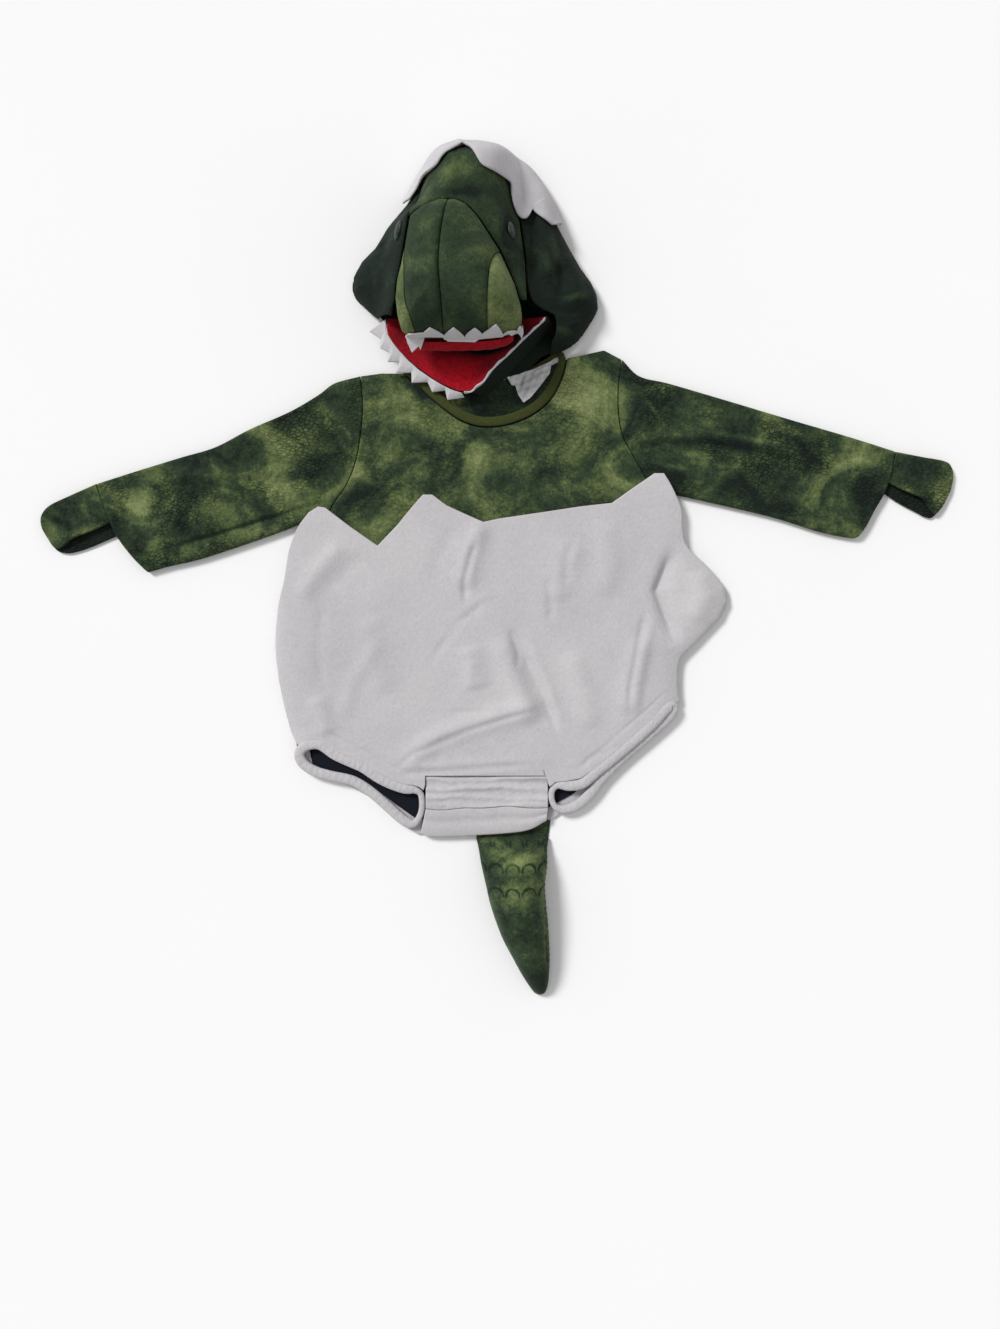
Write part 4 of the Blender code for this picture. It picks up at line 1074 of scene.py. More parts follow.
def dress(thing: Thing, material: Material, carries: bool = True) -> Thing:
    """Give a piece its finish and its place in the frame.

    Args:
        thing: The piece, named for its solid.
        material: Its finish.
        carries: Whether it stands for the solid of its name.

    Returns:
        The piece.
    """
    thing.data.materials.append(material)
    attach(thing, "root")
    if carries:
        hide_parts(thing.name.removesuffix(SEWN))
    LOG.info("%s: %d faces", thing.name, len(thing.data.polygons))
    return thing


@dataclass(frozen=True)
class Cut:
    """The flat cloth of a piece, in metres.

    Attributes:
        width: Of the cut that shows.
        length: Of the cut that shows.
        area: Of the cut that shows.
    """

    width: float
    length: float
    area: float


def lay(thing: Thing) -> Thing:
    """Give the piece back unchanged."""
    return thing


# The costume's pieces


@dataclass
class Romper:
    """The white egg shell: front, back, dark seat, gathered crotch and leg hems."""

    wardrobe: Wardrobe
    fleece: float = 2.8
    back_fleece: float = 2.6
    lining: float = 1.0
    lining_bottom: float = 2.95
    edge: float = 3.0
    rise: float = 5.4
    left: Line = (
        (-168, -150), (-173.5, -139), (-179, -119), (-184, -95), (-187, -66), (-185, -36), (-179, -10),
        (-175, 13), (-169, 30))
    right: Line = (
        (155, -113), (153, -100), (155, -77), (172, -60), (189, -42), (195, -29), (193, -17), (179, 0),
        (161, 17), (157, 31), (156, 48), (151, 61), (146, 71), (141, 79))
    top: Line = (
        (-169, 30), (-165, 37), (-158, 46), (-150, 51), (-144, 50), (-123, 34), (-100, 18), (-83, 36),
        (-70, 52), (-62, 61), (-54, 61), (-42, 52), (-29, 46), (-11, 38), (3, 41), (37, 46), (70, 51),
        (97, 54), (114, 66), (133, 79), (141, 79))
    bottom: Line = (
        (-168, -150), (-151, -146.5), (-135, -155), (-122, -161), (-111, -166.5), (-99, -174), (-88, -179.5),
        (-77, -183.2), (-69, -184), (-64.5, -185.4), (-61.4, -188), (-60, -184), (-59.8, -175.9),
        (-30, -175.9), (10, -175.9), (41.8, -175.9), (44.6, -185), (47, -183.6), (50, -181.2), (60, -180.2),
        (71, -178), (84, -169.5), (107, -150.5), (132, -129), (145, -117), (155, -113))
    crown: Line = (
        (-172, -138), (-179, -119), (-184, -95), (-187, -66), (-185, -36), (-184, -15), (-186, 10),
        (-192, 45), (-195, 130), (190, 130), (178, 70), (170, 45), (166, 25), (180, 1), (193, -17),
        (195, -29), (189, -42), (172, -60), (156, -77), (155, -100), (156, -118), (160, -230), (-166, -230),
        (-170, -150))
    creases: Sequence[Fold] = (
        Fold(((-11, 39), (-22, 11), (-27, -19)), 8, 3.2),
        Fold(((-36, 34), (-48, 8), (-52, -14)), 8, -0.9),
        Fold(((14, -50), (26, -87), (45, -133)), 6, -2.4),
        Fold(((2, -58), (13, -92), (30, -134)), 9, 3.2),
        Fold(((67, 24), (54, -10), (50, -30)), 11, 2.4),
        Fold(((-24, -66), (-14, -104)), 10, 2.2),
        Fold(((-82, -168), (-48, -142), (3, -126), (41, -114)), 9, 3.6),
        Fold(((-78, -172), (-10, -168), (34, -165)), 6, 2.2),
        Fold(((122, -58), (113, -100), (111, -125)), 9, 3.0),
        Fold(((-129, 20), (-150, -4), (-166, -27)), 8, 2.4),
        Fold(((-112, 11), (-128, -6), (-141, -19)), 7, -1.0),
        Fold(((150, 16), (138, -18), (143, -42), (152, -66)), 7, -3.6),
        Fold(((170, -2), (176, -24), (166, -48)), 11, 2.6),
        Fold(((-152, -108), (-141, -142)), 8, 2.4),
        Fold(((88, 40), (96, 4), (90, -26)), 10, 2.0),
        Fold(((-110, -40), (-104, -78), (-92, -108)), 12, 1.8),
        Fold(((62, -70), (74, -108), (82, -136)), 10, 2.0),
        # Sharper creases between them
        Fold(((-17, 22), (-22, 7), (-27, -13), (-26, -30)), 3.0, -2.4),
        Fold(((-7, -26), (-34, -48), (-52, -75)), 3.6, -1.2),
        Fold(((-2, -20), (-29, -41), (-48, -68)), 4.0, 0.8),
        Fold(((11, -54), (18, -71), (18, -85)), 2.4, -1.2),
        Fold(((22, -70), (38, -103), (51, -138)), 3.4, -2.4),
        Fold(((28, -68), (44, -100), (57, -134)), 4.5, 1.1),
        Fold(((43, -8), (45, -22), (46, -46)), 3.6, -1.2),
        Fold(((64, 22), (59, 7), (58, -16)), 4.4, -1.4),
        Fold(((-40, -122), (-6, -122)), 2.4, -0.9),
        Fold(((-84, -169), (-70, -157), (-25, -138), (6, -128), (34, -120)), 2.8, -1.7),
        Fold(((-84, -174), (-40, -171), (-1, -168), (31, -166)), 3.2, -2.2),
        Fold(((125, -40), (118, -71), (112, -103), (112, -122)), 3.0, -1.6),
        Fold(((132, -40), (125, -71), (119, -103), (118, -122)), 4.0, 0.9),
        Fold(((145, 7), (134, -20), (141, -38), (148, -54)), 2.6, -2.6),
        Fold(((-21, -79), (-23, -103)), 4.5, 0.9),
        Fold(((73, -169), (77, -161), (98, -153)), 2.0, -0.7),
        Fold(((-96, -60), (-120, -96), (-130, -130)), 6.0, 0.9),
        Fold(((-146, -30), (-150, -70), (-146, -100)), 5.0, -0.7),
    )
    hem_seams: Sequence[Fold] = (
        Fold(((-150, -134), (-133, -144), (-118, -151), (-107, -156.5), (-95, -164), (-84, -169.5),
              (-72, -172)), 0.9, -0.7),
        Fold(((52, -169), (68, -170.5), (79, -161), (101, -142), (126, -120.5), (139, -108), (151, -104)),
             0.9, -0.7),
    )
    back_top: Line = (
        (-169.5, 28), (-143, 37), (-125, 16), (-96, 54), (-58, 24), (-14, 58), (30, 24), (66, 57), (100, 26),
        (131, 58), (150, 54))
    back_right: Line = (
        (152, -118), (152, -101), (154.5, -76), (171, -60), (188, -42), (194, -29), (192, -17), (178, 0),
        (161, 16), (156.5, 30), (156, 44), (150, 54))
    back_bottom: Line = (
        (-166, -154), (-165, -168), (-157, -176), (-140, -180), (-125, -185), (-110, -193), (-94, -205),
        (-81, -217), (-67, -226), (-54, -226), (-21, -225), (-21, -213.5), (47, -213.5), (55, -208),
        (68, -200), (77, -188), (90, -175), (112, -155), (138, -135), (152, -118))
    back_left: Line = (
        (-166, -154), (-171, -140), (-178, -119), (-183, -95), (-186, -66), (-184, -36), (-178, -10),
        (-174, 13), (-169.5, 28))
    lining_top: Line = ((-162, 5), (-60, 9), (60, 9), (140, 5))
    lining_right: Line = ((141, -98), (141, -60), (140, 5))
    lining_bottom_edge: Line = (
        (-156, -140), (-156, -166), (-144, -172), (-124, -178), (-104, -186), (-86, -200), (-66, -214),
        (-40, -206), (44, -203), (66, -191), (80, -172), (98, -151), (126, -127), (141, -98))
    lining_left: Line = ((-156, -140), (-170, -100), (-174, -60), (-170, -20), (-162, 5))
    leg_left: Line = (
        (-149, -149.5, 9.4), (-136, -158, 9.6), (-123, -164, 9.6), (-112, -169, 9.6), (-100, -177, 9.6),
        (-89, -182.5, 9.6), (-77, -186.6, 9.4), (-69, -187.6, 8.8), (-64, -191, 8.0), (-62.8, -199, 7.2),
        (-64, -208, 6.8), (-69, -216, 6.5), (-76, -215, 6.5), (-84, -209, 6.5), (-95, -199, 6.5),
        (-108, -188, 6.5), (-122, -180, 6.5), (-140, -176, 6.5), (-154, -171.8, 6.6), (-163.5, -165, 7.0),
        (-166.2, -157, 7.6), (-160.5, -150.5, 8.8))
    leg_right: Line = (
        (52, -183.8, 8.8), (62, -184.2, 9.4), (73, -181.8, 9.6), (85, -172, 9.6), (108, -153, 9.6),
        (131, -132.5, 9.6), (143, -119.5, 9.4), (149, -117.5, 8.0), (146, -125.5, 6.8), (130, -140.5, 6.5),
        (109, -158.5, 6.5), (90, -177, 6.5), (80, -190, 6.5), (70, -199.6, 6.5), (59, -204.2, 6.6),
        (50.5, -202.5, 7.0), (46.6, -196, 7.6), (47, -188, 8.2))
    hem_width: float = 4.4
    hem_height: float = 2.2
    band: tuple = (-59.7, 43.5, -176.1)
    elastic: tuple = (-178.5, -186.5, -194.5, -201.0)
    tab_low: Line = ((-64, -224.8), (-54, -227.5), (-20, -226.5), (23, -223), (42.5, -214))

    def front_under(self, x: Array, y: Array) -> Array:
        """Underside of the front: a rounded edge, a level middle, folds that fade towards the edge.

        Args:
            x, y: Where to measure.

        Returns:
            The height.
        """
        rise = self.rise * quarter_round(depth_inside(x, y, self.crown) / 26.0)
        sunk = rise * soft_step(rise / self.rise)
        height = self.edge + rise + folds(x, y, self.creases) * sunk / self.rise
        return height + folds(x, y, self.hem_seams) + 0.22 * ripple(x, y, 38.0, 0.7) * sunk / self.rise

    def band_under(self, x: Array, y: Array) -> Array:
        """Underside of the crotch band: a soft ridge at each row of elastic, with small gathers across.

        Args:
            x, y: Where to measure.

        Returns:
            The height.
        """
        height = 6.4 + 0.0 * x
        for k, row in enumerate(self.elastic):
            wave = 1.3 * np.sin(0.06 * x + 1.7 * k) + 0.5 * np.sin(0.21 * x + k)
            full = (1.5 - 0.2 * k) * (1.0 + 0.45 * np.sin(0.05 * x + 2.3 * k))
            height += full * np.exp(-(((y - row - wave) / 2.5) ** 2))
        return height + 0.24 * ripple(x, 0.6 * y, 9.0, 1.3) + 0.14 * ripple(x, y, 4.2, 0.4)

    def band_low(self, x: Array) -> Array:
        """Where the band ends and the tab turns under, along a soft wave."""
        return -203.0 + 1.2 * np.sin(0.055 * (x + 20.0)) + 0.5 * np.sin(0.17 * x)

    def build(self) -> None:
        """Make and dress every piece."""
        self._front()
        self._back()
        self._crotch()
        self._hems()

    def _front(self) -> None:
        """The front, with its jagged top edge."""
        u, v = shares(300, 420.0), shares(170, 250.0)
        plan = patch(cornered(self.bottom, u), cornered(self.top, u), smooth(self.left, v),
                     smooth(self.right, v), u, v)
        under = self.front_under(plan[..., 0], plan[..., 1])
        thing = lying_cloth("front_shell", plan, under, self.fleece, 1.1)
        lay(dress(thing, self.wardrobe.fleece))

    def _back(self) -> None:
        """The back, and the dark seat that shows between the two."""
        u, v = shares(180, 380.0), shares(70, 250.0)
        plan = patch(cornered(self.back_bottom, u), cornered(self.back_top, u), smooth(self.back_left, v),
                     smooth(self.back_right, v), u, v)
        thing = lying_cloth("back_shell", plan, 0.0 * plan[..., 0], self.back_fleece, 1.2)
        lay(dress(thing, self.wardrobe.fleece))
        plan = patch(cornered(self.lining_bottom_edge, u), cornered(self.lining_top, u),
                     smooth(self.lining_left, v),
                     smooth(self.lining_right, v), u, v)
        under = self.lining_bottom + 0.0 * plan[..., 0]
        thing = lying_cloth("seat_lining", plan, under, self.lining, 0.6)
        lay(dress(thing, self.wardrobe.lining))

    def _crotch(self) -> None:
        """The gathered band, and the tab that turns under it."""
        left, right, top = self.band
        t, v = shares(110, 105.0), shares(60, 27.0)
        along = left + (right - left) * t
        low = self.band_low(along)
        plan = strip(np.column_stack([along, top + 0.0 * t]), np.column_stack([along, low]), v)
        thing = lying_cloth("crotch_band", plan, self.band_under(plan[..., 0], plan[..., 1]), 2.6, 0.8)
        lay(dress(thing, self.wardrobe.fleece))
        v = shares(46, 23.0)
        plan = strip(np.column_stack([along, low - SEAM]), smooth(self.tab_low, t), v)
        depth = v[None, :] + 0.0 * plan[..., 0]
        crease = 0.9 * np.exp(-(((depth - 0.45) / 0.16) ** 2))
        under = 3.3 + 3.4 * np.sqrt(1.0 - 0.94 * depth**2) - crease
        under += folds(plan[..., 0], plan[..., 1], (Fold(((-1, -205), (2, -214), (10, -221)), 1.6, -0.5),))
        thing = lying_cloth("crotch_tab", plan, under, 2.6, 0.9)
        lay(dress(thing, self.wardrobe.fleece))

    def _hems(self) -> None:
        """The turned hem round each leg opening."""
        for name, path, crotch in (("leg_binding_left", self.leg_left, -63.0),
                                   ("leg_binding_right", self.leg_right, 47.0)):
            line = smooth(path, 260, closed=True)
            width = self.hem_width * (1.0 - 0.42 * np.exp(-(((line[:, 0] - crotch) / 9.0) ** 2)))
            thing = roll(name, line, width, self.hem_height, 20, 0.05)
            lay(dress(thing, self.wardrobe.fuzz))


@dataclass
class Tail:
    """The stuffed tail with pressed arches on its upper side."""

    wardrobe: Wardrobe
    sections: Line = (
        # y, left, right, height
        (-214.0, -18, 46, 2.4),
        (-228.1, -17, 44, 2.6),
        (-229.6, -17, 44, 9.0),
        (-238.0, -15, 43, 21.0),
        (-250.0, -13, 43, 31.0),
        (-268.0, -9, 42, 37.0),
        (-285.0, -5, 42.5, 37.0),
        (-300.0, 0, 43.5, 34.0),
        (-315.0, 6, 44.5, 30.0),
        (-330.0, 14, 45, 25.0),
        (-343.0, 21, 44.5, 19.5),
        (-353.0, 27, 43.5, 13.5),
        (-359.5, 31.5, 41.5, 7.5),
        (-361.5, 34, 39.5, 4.0),
    )
    rows: Line = (
        (-228.0, 17.0, 1.0), (-247.4, 13.5, 1.0), (-266.5, 13.5, 1.0), (-286.0, 16.0, 0.35),
        (-305.0, 20.0, 0.25))
    pitch: float = 13.8
    reach: float = 5.6
    # Painted sheen and shade: lighter patches along the middle, darker towards the left side and the tip, and
    # a dark strip of painted shade along the seam
    spots: Sequence[Spot] = (
        Spot(22, -246, 12, 9, 0.14), Spot(26, -268, 11, 12, 0.16), Spot(30, -236, 12, 6, 0.12),
        Spot(8, -322, 7, 12, 0.16, 60), Spot(44.6, -262, 34, 2.2, -0.55, 90), Spot(-6, -250, 7, 26, -0.20, 5),
        Spot(34, -310, 9, 18, -0.22), Spot(36, -346, 14, 14, -0.30), Spot(6, -290, 10, 8, -0.12),
        Spot(16, -300, 6, 8, 0.06))

    def arches(self, x: Array, y: Array) -> Array:
        """Depth of the pressed lines: rings that fade below their middles, with rays inside.

        Args:
            x, y: Where to measure.

        Returns:
            The depth, of which 1 is a full line.
        """
        depth = np.zeros_like(x)
        for row, shift, amount in self.rows:
            dx = (x - shift + 0.5 * self.pitch) % self.pitch - 0.5 * self.pitch
            dy = y - row + self.reach
            away = np.hypot(dx, dy)
            above = soft_step(dy / 2.5 + 0.9)
            depth += amount * above * np.exp(-(((away - self.reach) / 0.8) ** 2))
            ray = np.exp(-((np.sin(2.5 * np.arctan2(dx, dy + 1e-6)) * away / 0.5) ** 2))
            ray = 0.35 * amount * ray * soft_step(self.reach - 0.6 - away)
            depth += ray * soft_step((away - 1.6) / 1.2) * soft_step(dy + 3.0)
        return np.clip(depth, 0.0, 1.2)

    def build(self) -> None:
        """Make and dress the tail."""
        spine = smooth(self.sections, shares(230, 148.0, edge=6.0, steps=16))
        angle = np.pi * shares(90)
        foot = np.pi * shares(16)[1:-1]
        y, left, right, height = (column[:, None] for column in spine.T)
        middle, half = 0.5 * (left + right), 0.5 * (right - left)
        low = np.minimum(0.28 * height, 6.0)
        x = middle - half * np.cos(angle)
        z = low + (height - low) * np.sin(angle)
        pressed = self.arches(x, y + 0.0 * x) * soft_step((height - 6.0) / 10.0)
        pressed = pressed * soft_step(3.0 * np.sin(angle))
        seam, _ = line_distance(x, y + 0.0 * x, ((41.6, -222), (41.2, -262), (41.4, -300), (42.4, -330)))
        # Painted shade: the pressed arch lines are darkened in the colour
        lines = np.hstack([-0.42 * np.clip(pressed, 0.0, 1.0), np.zeros((len(y), foot.size))])
        pressed = pressed * 1.1 + 1.6 * np.exp(-((seam / 1.1) ** 2)) * soft_step((height - 4.0) / 8.0)
        pucker = 0.25 * np.sin(1.3 * y + 0.4 * x) * np.exp(-((seam / 3.0) ** 2))
        shrink = (pressed - pucker) * soft_step((height - 3.0) / 8.0)
        x = x + shrink * np.cos(angle)
        z = z - shrink * np.sin(angle)
        foot_x = middle + half * np.cos(foot) * (1.0 - 0.12 * np.sin(foot))
        foot_z = np.maximum(low * (1.0 - np.sin(foot) ** 0.45), 0.0)
        rings = np.dstack(
            [np.hstack([x, foot_x]), np.broadcast_to(y, (len(y), angle.size + foot.size)),
             np.hstack([z, foot_z])])
        thing = dye_and_painted_light(skin("tail", rings), self.spots, lines)
        dress(thing, self.wardrobe.tail)


@dataclass
class Top:
    """The green top: yoke, sleeves with hand covers, neck binding and label."""

    wardrobe: Wardrobe
    cloth: float = 2.0
    yoke_edge: float = 2.4
    yoke_rise: float = 2.2
    tube: float = 6.8
    sleeve_length: float = 230.0
    cover_length: float = 62.0
    armhole_left: Line = (
        (-142, 44), (-137, 55), (-126, 71), (-118, 93), (-114, 119), (-113, 139), (-115, 162))
    armhole_right: Line = ((130, 66), (126, 76), (115, 95), (106, 113), (103, 133), (103, 154), (106, 176))
    low_left: Line = ((-150, -6), (-152, 12), (-149, 30))
    low_right: Line = ((132, -6), (135, 20), (134, 50))
    neck_front: Line = (
        (-77.5, 162.5), (-73.8, 158.6), (-65.2, 151.2), (-54.4, 141), (-40, 129.6), (-28, 122.4),
        (-11.3, 118), (9.2, 119.8), (30.4, 128), (47, 142.5), (56.8, 162), (60, 177))
    neck_back: Line = ((-77, 165), (-48, 159.5), (-10, 157.5), (28, 162.3), (54, 175.5))
    shoulders: Line = (
        (-150, 163), (-115, 162), (-75, 166), (-40, 185), (20, 195), (58, 179), (75, 181), (91, 184),
        (106, 176), (150, 160))
    yoke_creases: Sequence[Fold] = (
        Fold(((-100, 140), (-88, 112), (-80, 92)), 9, 1.3),
        Fold(((88, 150), (82, 120), (70, 100)), 9, 1.5),
        Fold(((-36, 108), (0, 100), (30, 106)), 8, 1.1),
        Fold(((-113, 88), (-36, 102), (34, 120), (84, 127)), 3.4, -1.0),
        Fold(((-113, 96), (-36, 110), (34, 128), (84, 134)), 4.5, 0.6),
        Fold(((89, 160), (92, 125)), 2.4, -0.9),
        Fold(((99, 168), (104, 120)), 2.4, -0.8),
        Fold(((-98, 150), (-100, 118), (-106, 92)), 2.6, -0.8),
        Fold(((-60, 86), (-20, 78), (10, 84)), 4.0, -0.5),
        Fold(((40, 88), (74, 82), (98, 92)), 3.4, -0.6),
    )
    binding: Line = (
        # x, y, height of its middle, half width, half height
        (-79, 169, 3.6, 3.0, 1.5),
        (-71, 162.5, 4.1, 3.5, 1.7),
        (-62, 155, 4.8, 3.8, 1.8),
        (-51, 145, 5.6, 4.0, 1.9),
        (-37, 134, 5.8, 4.0, 1.9),
        (-26, 127.3, 5.8, 4.0, 1.9),
        (-11, 123.3, 5.8, 4.0, 1.9),
        (8, 125, 5.8, 4.0, 1.9),
        (28, 132.8, 5.8, 4.0, 1.9),
        (43, 146, 5.6, 4.0, 1.9),
        (52, 164, 4.6, 3.6, 1.8),
        (55.5, 177, 3.9, 3.0, 1.6),
        (49, 181, 2.1, 3.0, 1.4),
        (28, 167.8, 1.7, 3.6, 1.5),
        (-10, 162.6, 1.7, 3.6, 1.5),
        (-48, 164.8, 1.7, 3.6, 1.5),
        (-72, 171, 2.2, 3.0, 1.5),
    )
    label_low: Line = ((12.5, 155), (16, 154), (18.5, 146), (23, 139.5), (30, 145), (38, 155), (45, 164))
    label_high: Line = ((9, 161), (13, 163.5), (22, 165.5), (30, 167.5), (40, 172), (47, 175))
    # Painted shade in the label's crinkles, and one small lighter spot
    label_shade_and_light: Sequence[Spot] = (
        Spot(30, 160, 11, 1.6, -0.45, 28), Spot(22, 157, 7, 1.4, -0.40, 75), Spot(34, 167, 9, 1.2, -0.35, 32),
        Spot(24, 146, 6, 1.4, -0.35, 60), Spot(27, 152, 8, 2.2, -0.25, 20), Spot(14, 159, 4, 2, 0.1))
    sleeve_left_top: Line = (
        (-115.3, 162), (-137, 156), (-151, 146), (-175, 132), (-209, 117), (-238, 102), (-268, 93),
        (-310, 80), (-338, 71))
    sleeve_left_low: Line = (
        (-142.4, 44), (-156, 40.5), (-167, 36.5), (-183, 30), (-217, 18), (-251, 7), (-277, 1), (-286, -1.5),
        (-295, -4))
    sleeve_right_top: Line = (
        (106.4, 176), (121, 162), (147, 155.5), (198, 140.5), (248, 125.5), (299, 110.5), (337, 98.5))
    sleeve_right_low: Line = (
        (130.4, 66), (143, 63), (156, 60.5), (172, 57), (232, 43), (274, 30), (300, 25), (306, 26))
    cuff_left: Line = ((-338, 71), (-331, 49), (-322, 28), (-308, 9), (-295, -4))
    cuff_right: Line = ((337, 98.5), (333, 78), (328, 63), (320, 49), (312, 34), (306, 26))
    creases_left: Sequence[Fold] = (
        Fold(((-302, 70), (-240, 79), (-168, 80)), 7, 1.8),
        Fold(((-290, 13), (-230, 26), (-162, 46)), 6, -0.8),
        Fold(((-150, 132), (-160, 100), (-158, 66)), 8, 1.6),
        Fold(((-300, 64), (-240, 73), (-172, 74)), 2.6, -0.9),
        Fold(((-285, 14), (-230, 29), (-190, 42), (-150, 55)), 2.0, -1.5),
        Fold(((-180, 128), (-196, 100), (-214, 84)), 3.6, -0.8),
        Fold(((-262, 86), (-270, 60), (-268, 34)), 4.5, 0.7),
        Fold(((-226, 58), (-214, 42), (-196, 36)), 3.2, -0.6),
        Fold(((-320, 66), (-312, 44), (-298, 20)), 2.6, -0.6),
    )
    creases_right: Sequence[Fold] = (
        Fold(((109, 104), (141, 111), (245, 102)), 7, 2.4),
        Fold(((112, 92), (150, 97), (200, 92)), 6, -0.8),
        Fold(((300, 92), (318, 82), (339, 79)), 6, 2.0),
        Fold(((128, 150), (134, 120), (132, 92)), 8, 1.4),
        Fold(((112, 99), (145, 105), (190, 104), (246, 92)), 3.0, -1.8),
        Fold(((122, 156), (139, 122)), 3.0, 0.9),
        Fold(((114, 150), (130, 118)), 2.2, -0.9),
        Fold(((250, 110), (262, 84), (268, 56)), 4.0, 0.8),
        Fold(((180, 130), (206, 118), (232, 116)), 3.4, -0.7),
        Fold(((196, 76), (232, 64), (262, 60)), 3.4, -0.7),
        Fold(((296, 98), (312, 90), (332, 86)), 2.4, -0.7),
        Fold(((286, 70), (296, 52), (300, 38)), 3.4, 0.6),
    )
    cover_left: Line = ((-338.6, 71), (-361, 61), (-378, 53), (-385, 46), (-386.5, 40), (-385, 33))
    mouth_left: Line = ((-322.2, 26.8), (-344, 17.5), (-358, 13), (-366, 12.5), (-373, 15), (-380, 25))
    cover_right: Line = ((337.7, 98.2), (359, 94), (380, 90), (386, 84), (387, 76), (385, 66))
    mouth_right: Line = ((328.8, 63), (341, 55), (356, 47), (364, 43), (370, 43), (378, 52))
    cover_creases: Sequence[Fold] = (
        Fold(((-386, 45), (-375, 38), (-364, 34)), 4.0, -1.5),
        Fold(((-372, 30), (-360, 27), (-346, 30)), 4.0, 1.0),
        Fold(((386, 78), (374, 70), (362, 66)), 4.0, -1.4),
        Fold(((370, 62), (358, 62), (348, 66)), 4.0, 1.0),
    )
    # Painted highlights on the turned fabric above the open edge, painted shade in the crease near the left
    # tip, and slightly darker patches near the folded edge
    cover_shade_and_light: Sequence[Spot] = (
        Spot(-373, 26, 8, 10, 0.24), Spot(-348, 31, 12, 4, 0.30, 15), Spot(-372, 40, 12, 3, -0.25, -28),
        Spot(-350, 60, 20, 10, -0.06), Spot(372, 60, 9, 8, 0.20), Spot(350, 64, 12, 4, 0.22, -15),
        Spot(352, 84, 20, 8, -0.08))
    yoke_spots: Sequence[Spot] = (
        Spot(-76, 128, 16, 14, 0.28), Spot(-70, 153, 24, 8, -0.55, -35), Spot(-2, 92, 30, 13, 0.20, 8),
        Spot(66, 146, 16, 24, 0.24), Spot(50, 66, 16, 8, 0.16), Spot(3, 74, 18, 7, -0.20),
        Spot(-116, 58, 14, 12, -0.22), Spot(-40, 100, 14, 10, -0.08), Spot(92, 110, 12, 16, -0.12),
        Spot(-96, 96, 20, 10, 0.08), Spot(-60, 76, 18, 8, 0.10))
    # Dye patches, with painted light: a dark line of painted shade along the underarm crease, a painted
    # highlight below it and a thin painted highlight higher up
    left_tone_and_light: Sequence[Spot] = (
        Spot(-302, 50, 12, 12, 0.22), Spot(-249, 48, 17, 11, 0.24, 10), Spot(-182, 68, 16, 9, 0.24),
        Spot(-167, 112, 14, 9, 0.22), Spot(-207, 96, 16, 10, -0.22), Spot(-273, 66, 14, 8, -0.16),
        Spot(-292, 20, 14, 12, -0.16), Spot(-196, 112, 10, 6, 0.12), Spot(-215, 35.5, 62, 1.4, -0.34, 16.7),
        Spot(-228, 24, 46, 5, 0.10, 16.7), Spot(-225, 79, 56, 1.5, 0.10, 3.4), Spot(-270, 30, 24, 10, -0.12),
        Spot(-210, 40, 24, 10, -0.10), Spot(-140, 90, 14, 26, -0.14), Spot(-330, 62, 10, 10, -0.1))
    # Dye patches, with painted light: dark bands of painted shade beside the folds, thin painted highlights
    # along the ridges and at the shoulder, and painted shade at the cuff
    right_tone_and_light: Sequence[Spot] = (
        Spot(170, 118, 24, 9, 0.18), Spot(236, 96, 26, 10, 0.16), Spot(300, 84, 18, 12, 0.14),
        Spot(156, 83, 10, 5, 0.14), Spot(154, 104, 34, 5, -0.26, 4), Spot(210, 66, 30, 10, -0.10),
        Spot(288, 50, 20, 12, -0.08), Spot(128, 120, 8, 22, -0.14), Spot(213, 108.5, 34, 2.4, 0.24, -10),
        Spot(213, 101, 36, 4, -0.24, -10), Spot(252, 80, 26, 7, 0.14, -15), Spot(310, 66, 8, 16, -0.30, -20),
        Spot(320, 88, 15, 5, 0.20, -8), Spot(149, 85.5, 11, 2.0, 0.36, -14), Spot(149, 79, 14, 3, -0.20, -14),
        Spot(192, 134, 14, 6, 0.16, -20), Spot(132, 133, 14, 1.6, 0.32, -54))

    def yoke_under(self, x: Array, y: Array) -> Array:
        """Underside of the yoke's front: folded at the shoulders, level elsewhere, with creases.

        Args:
            x, y: Where to measure.

        Returns:
            The height.
        """
        away, _ = line_distance(x, y, self.shoulders)
        height = self.yoke_edge + self.yoke_rise * quarter_round(away / 20.0)
        return height + folds(x, y, self.yoke_creases) + 0.12 * ripple(x, y, 30.0, 1.9)

    def build(self) -> None:
        """Make and dress every piece."""
        self._yoke()
        self._neck()
        self._sleeve("left", self.sleeve_left_top, self.sleeve_left_low, self.armhole_left[::-1],
                     self.cuff_left,
                     self.creases_left, self.left_tone_and_light)
        self._sleeve("right", self.sleeve_right_top, self.sleeve_right_low, self.armhole_right[::-1],
                     self.cuff_right,
                     self.creases_right, self.right_tone_and_light)
        self._cover("hand_cover_left", self.cover_left, self.mouth_left)
        self._cover("hand_cover_right", self.cover_right, self.mouth_right)

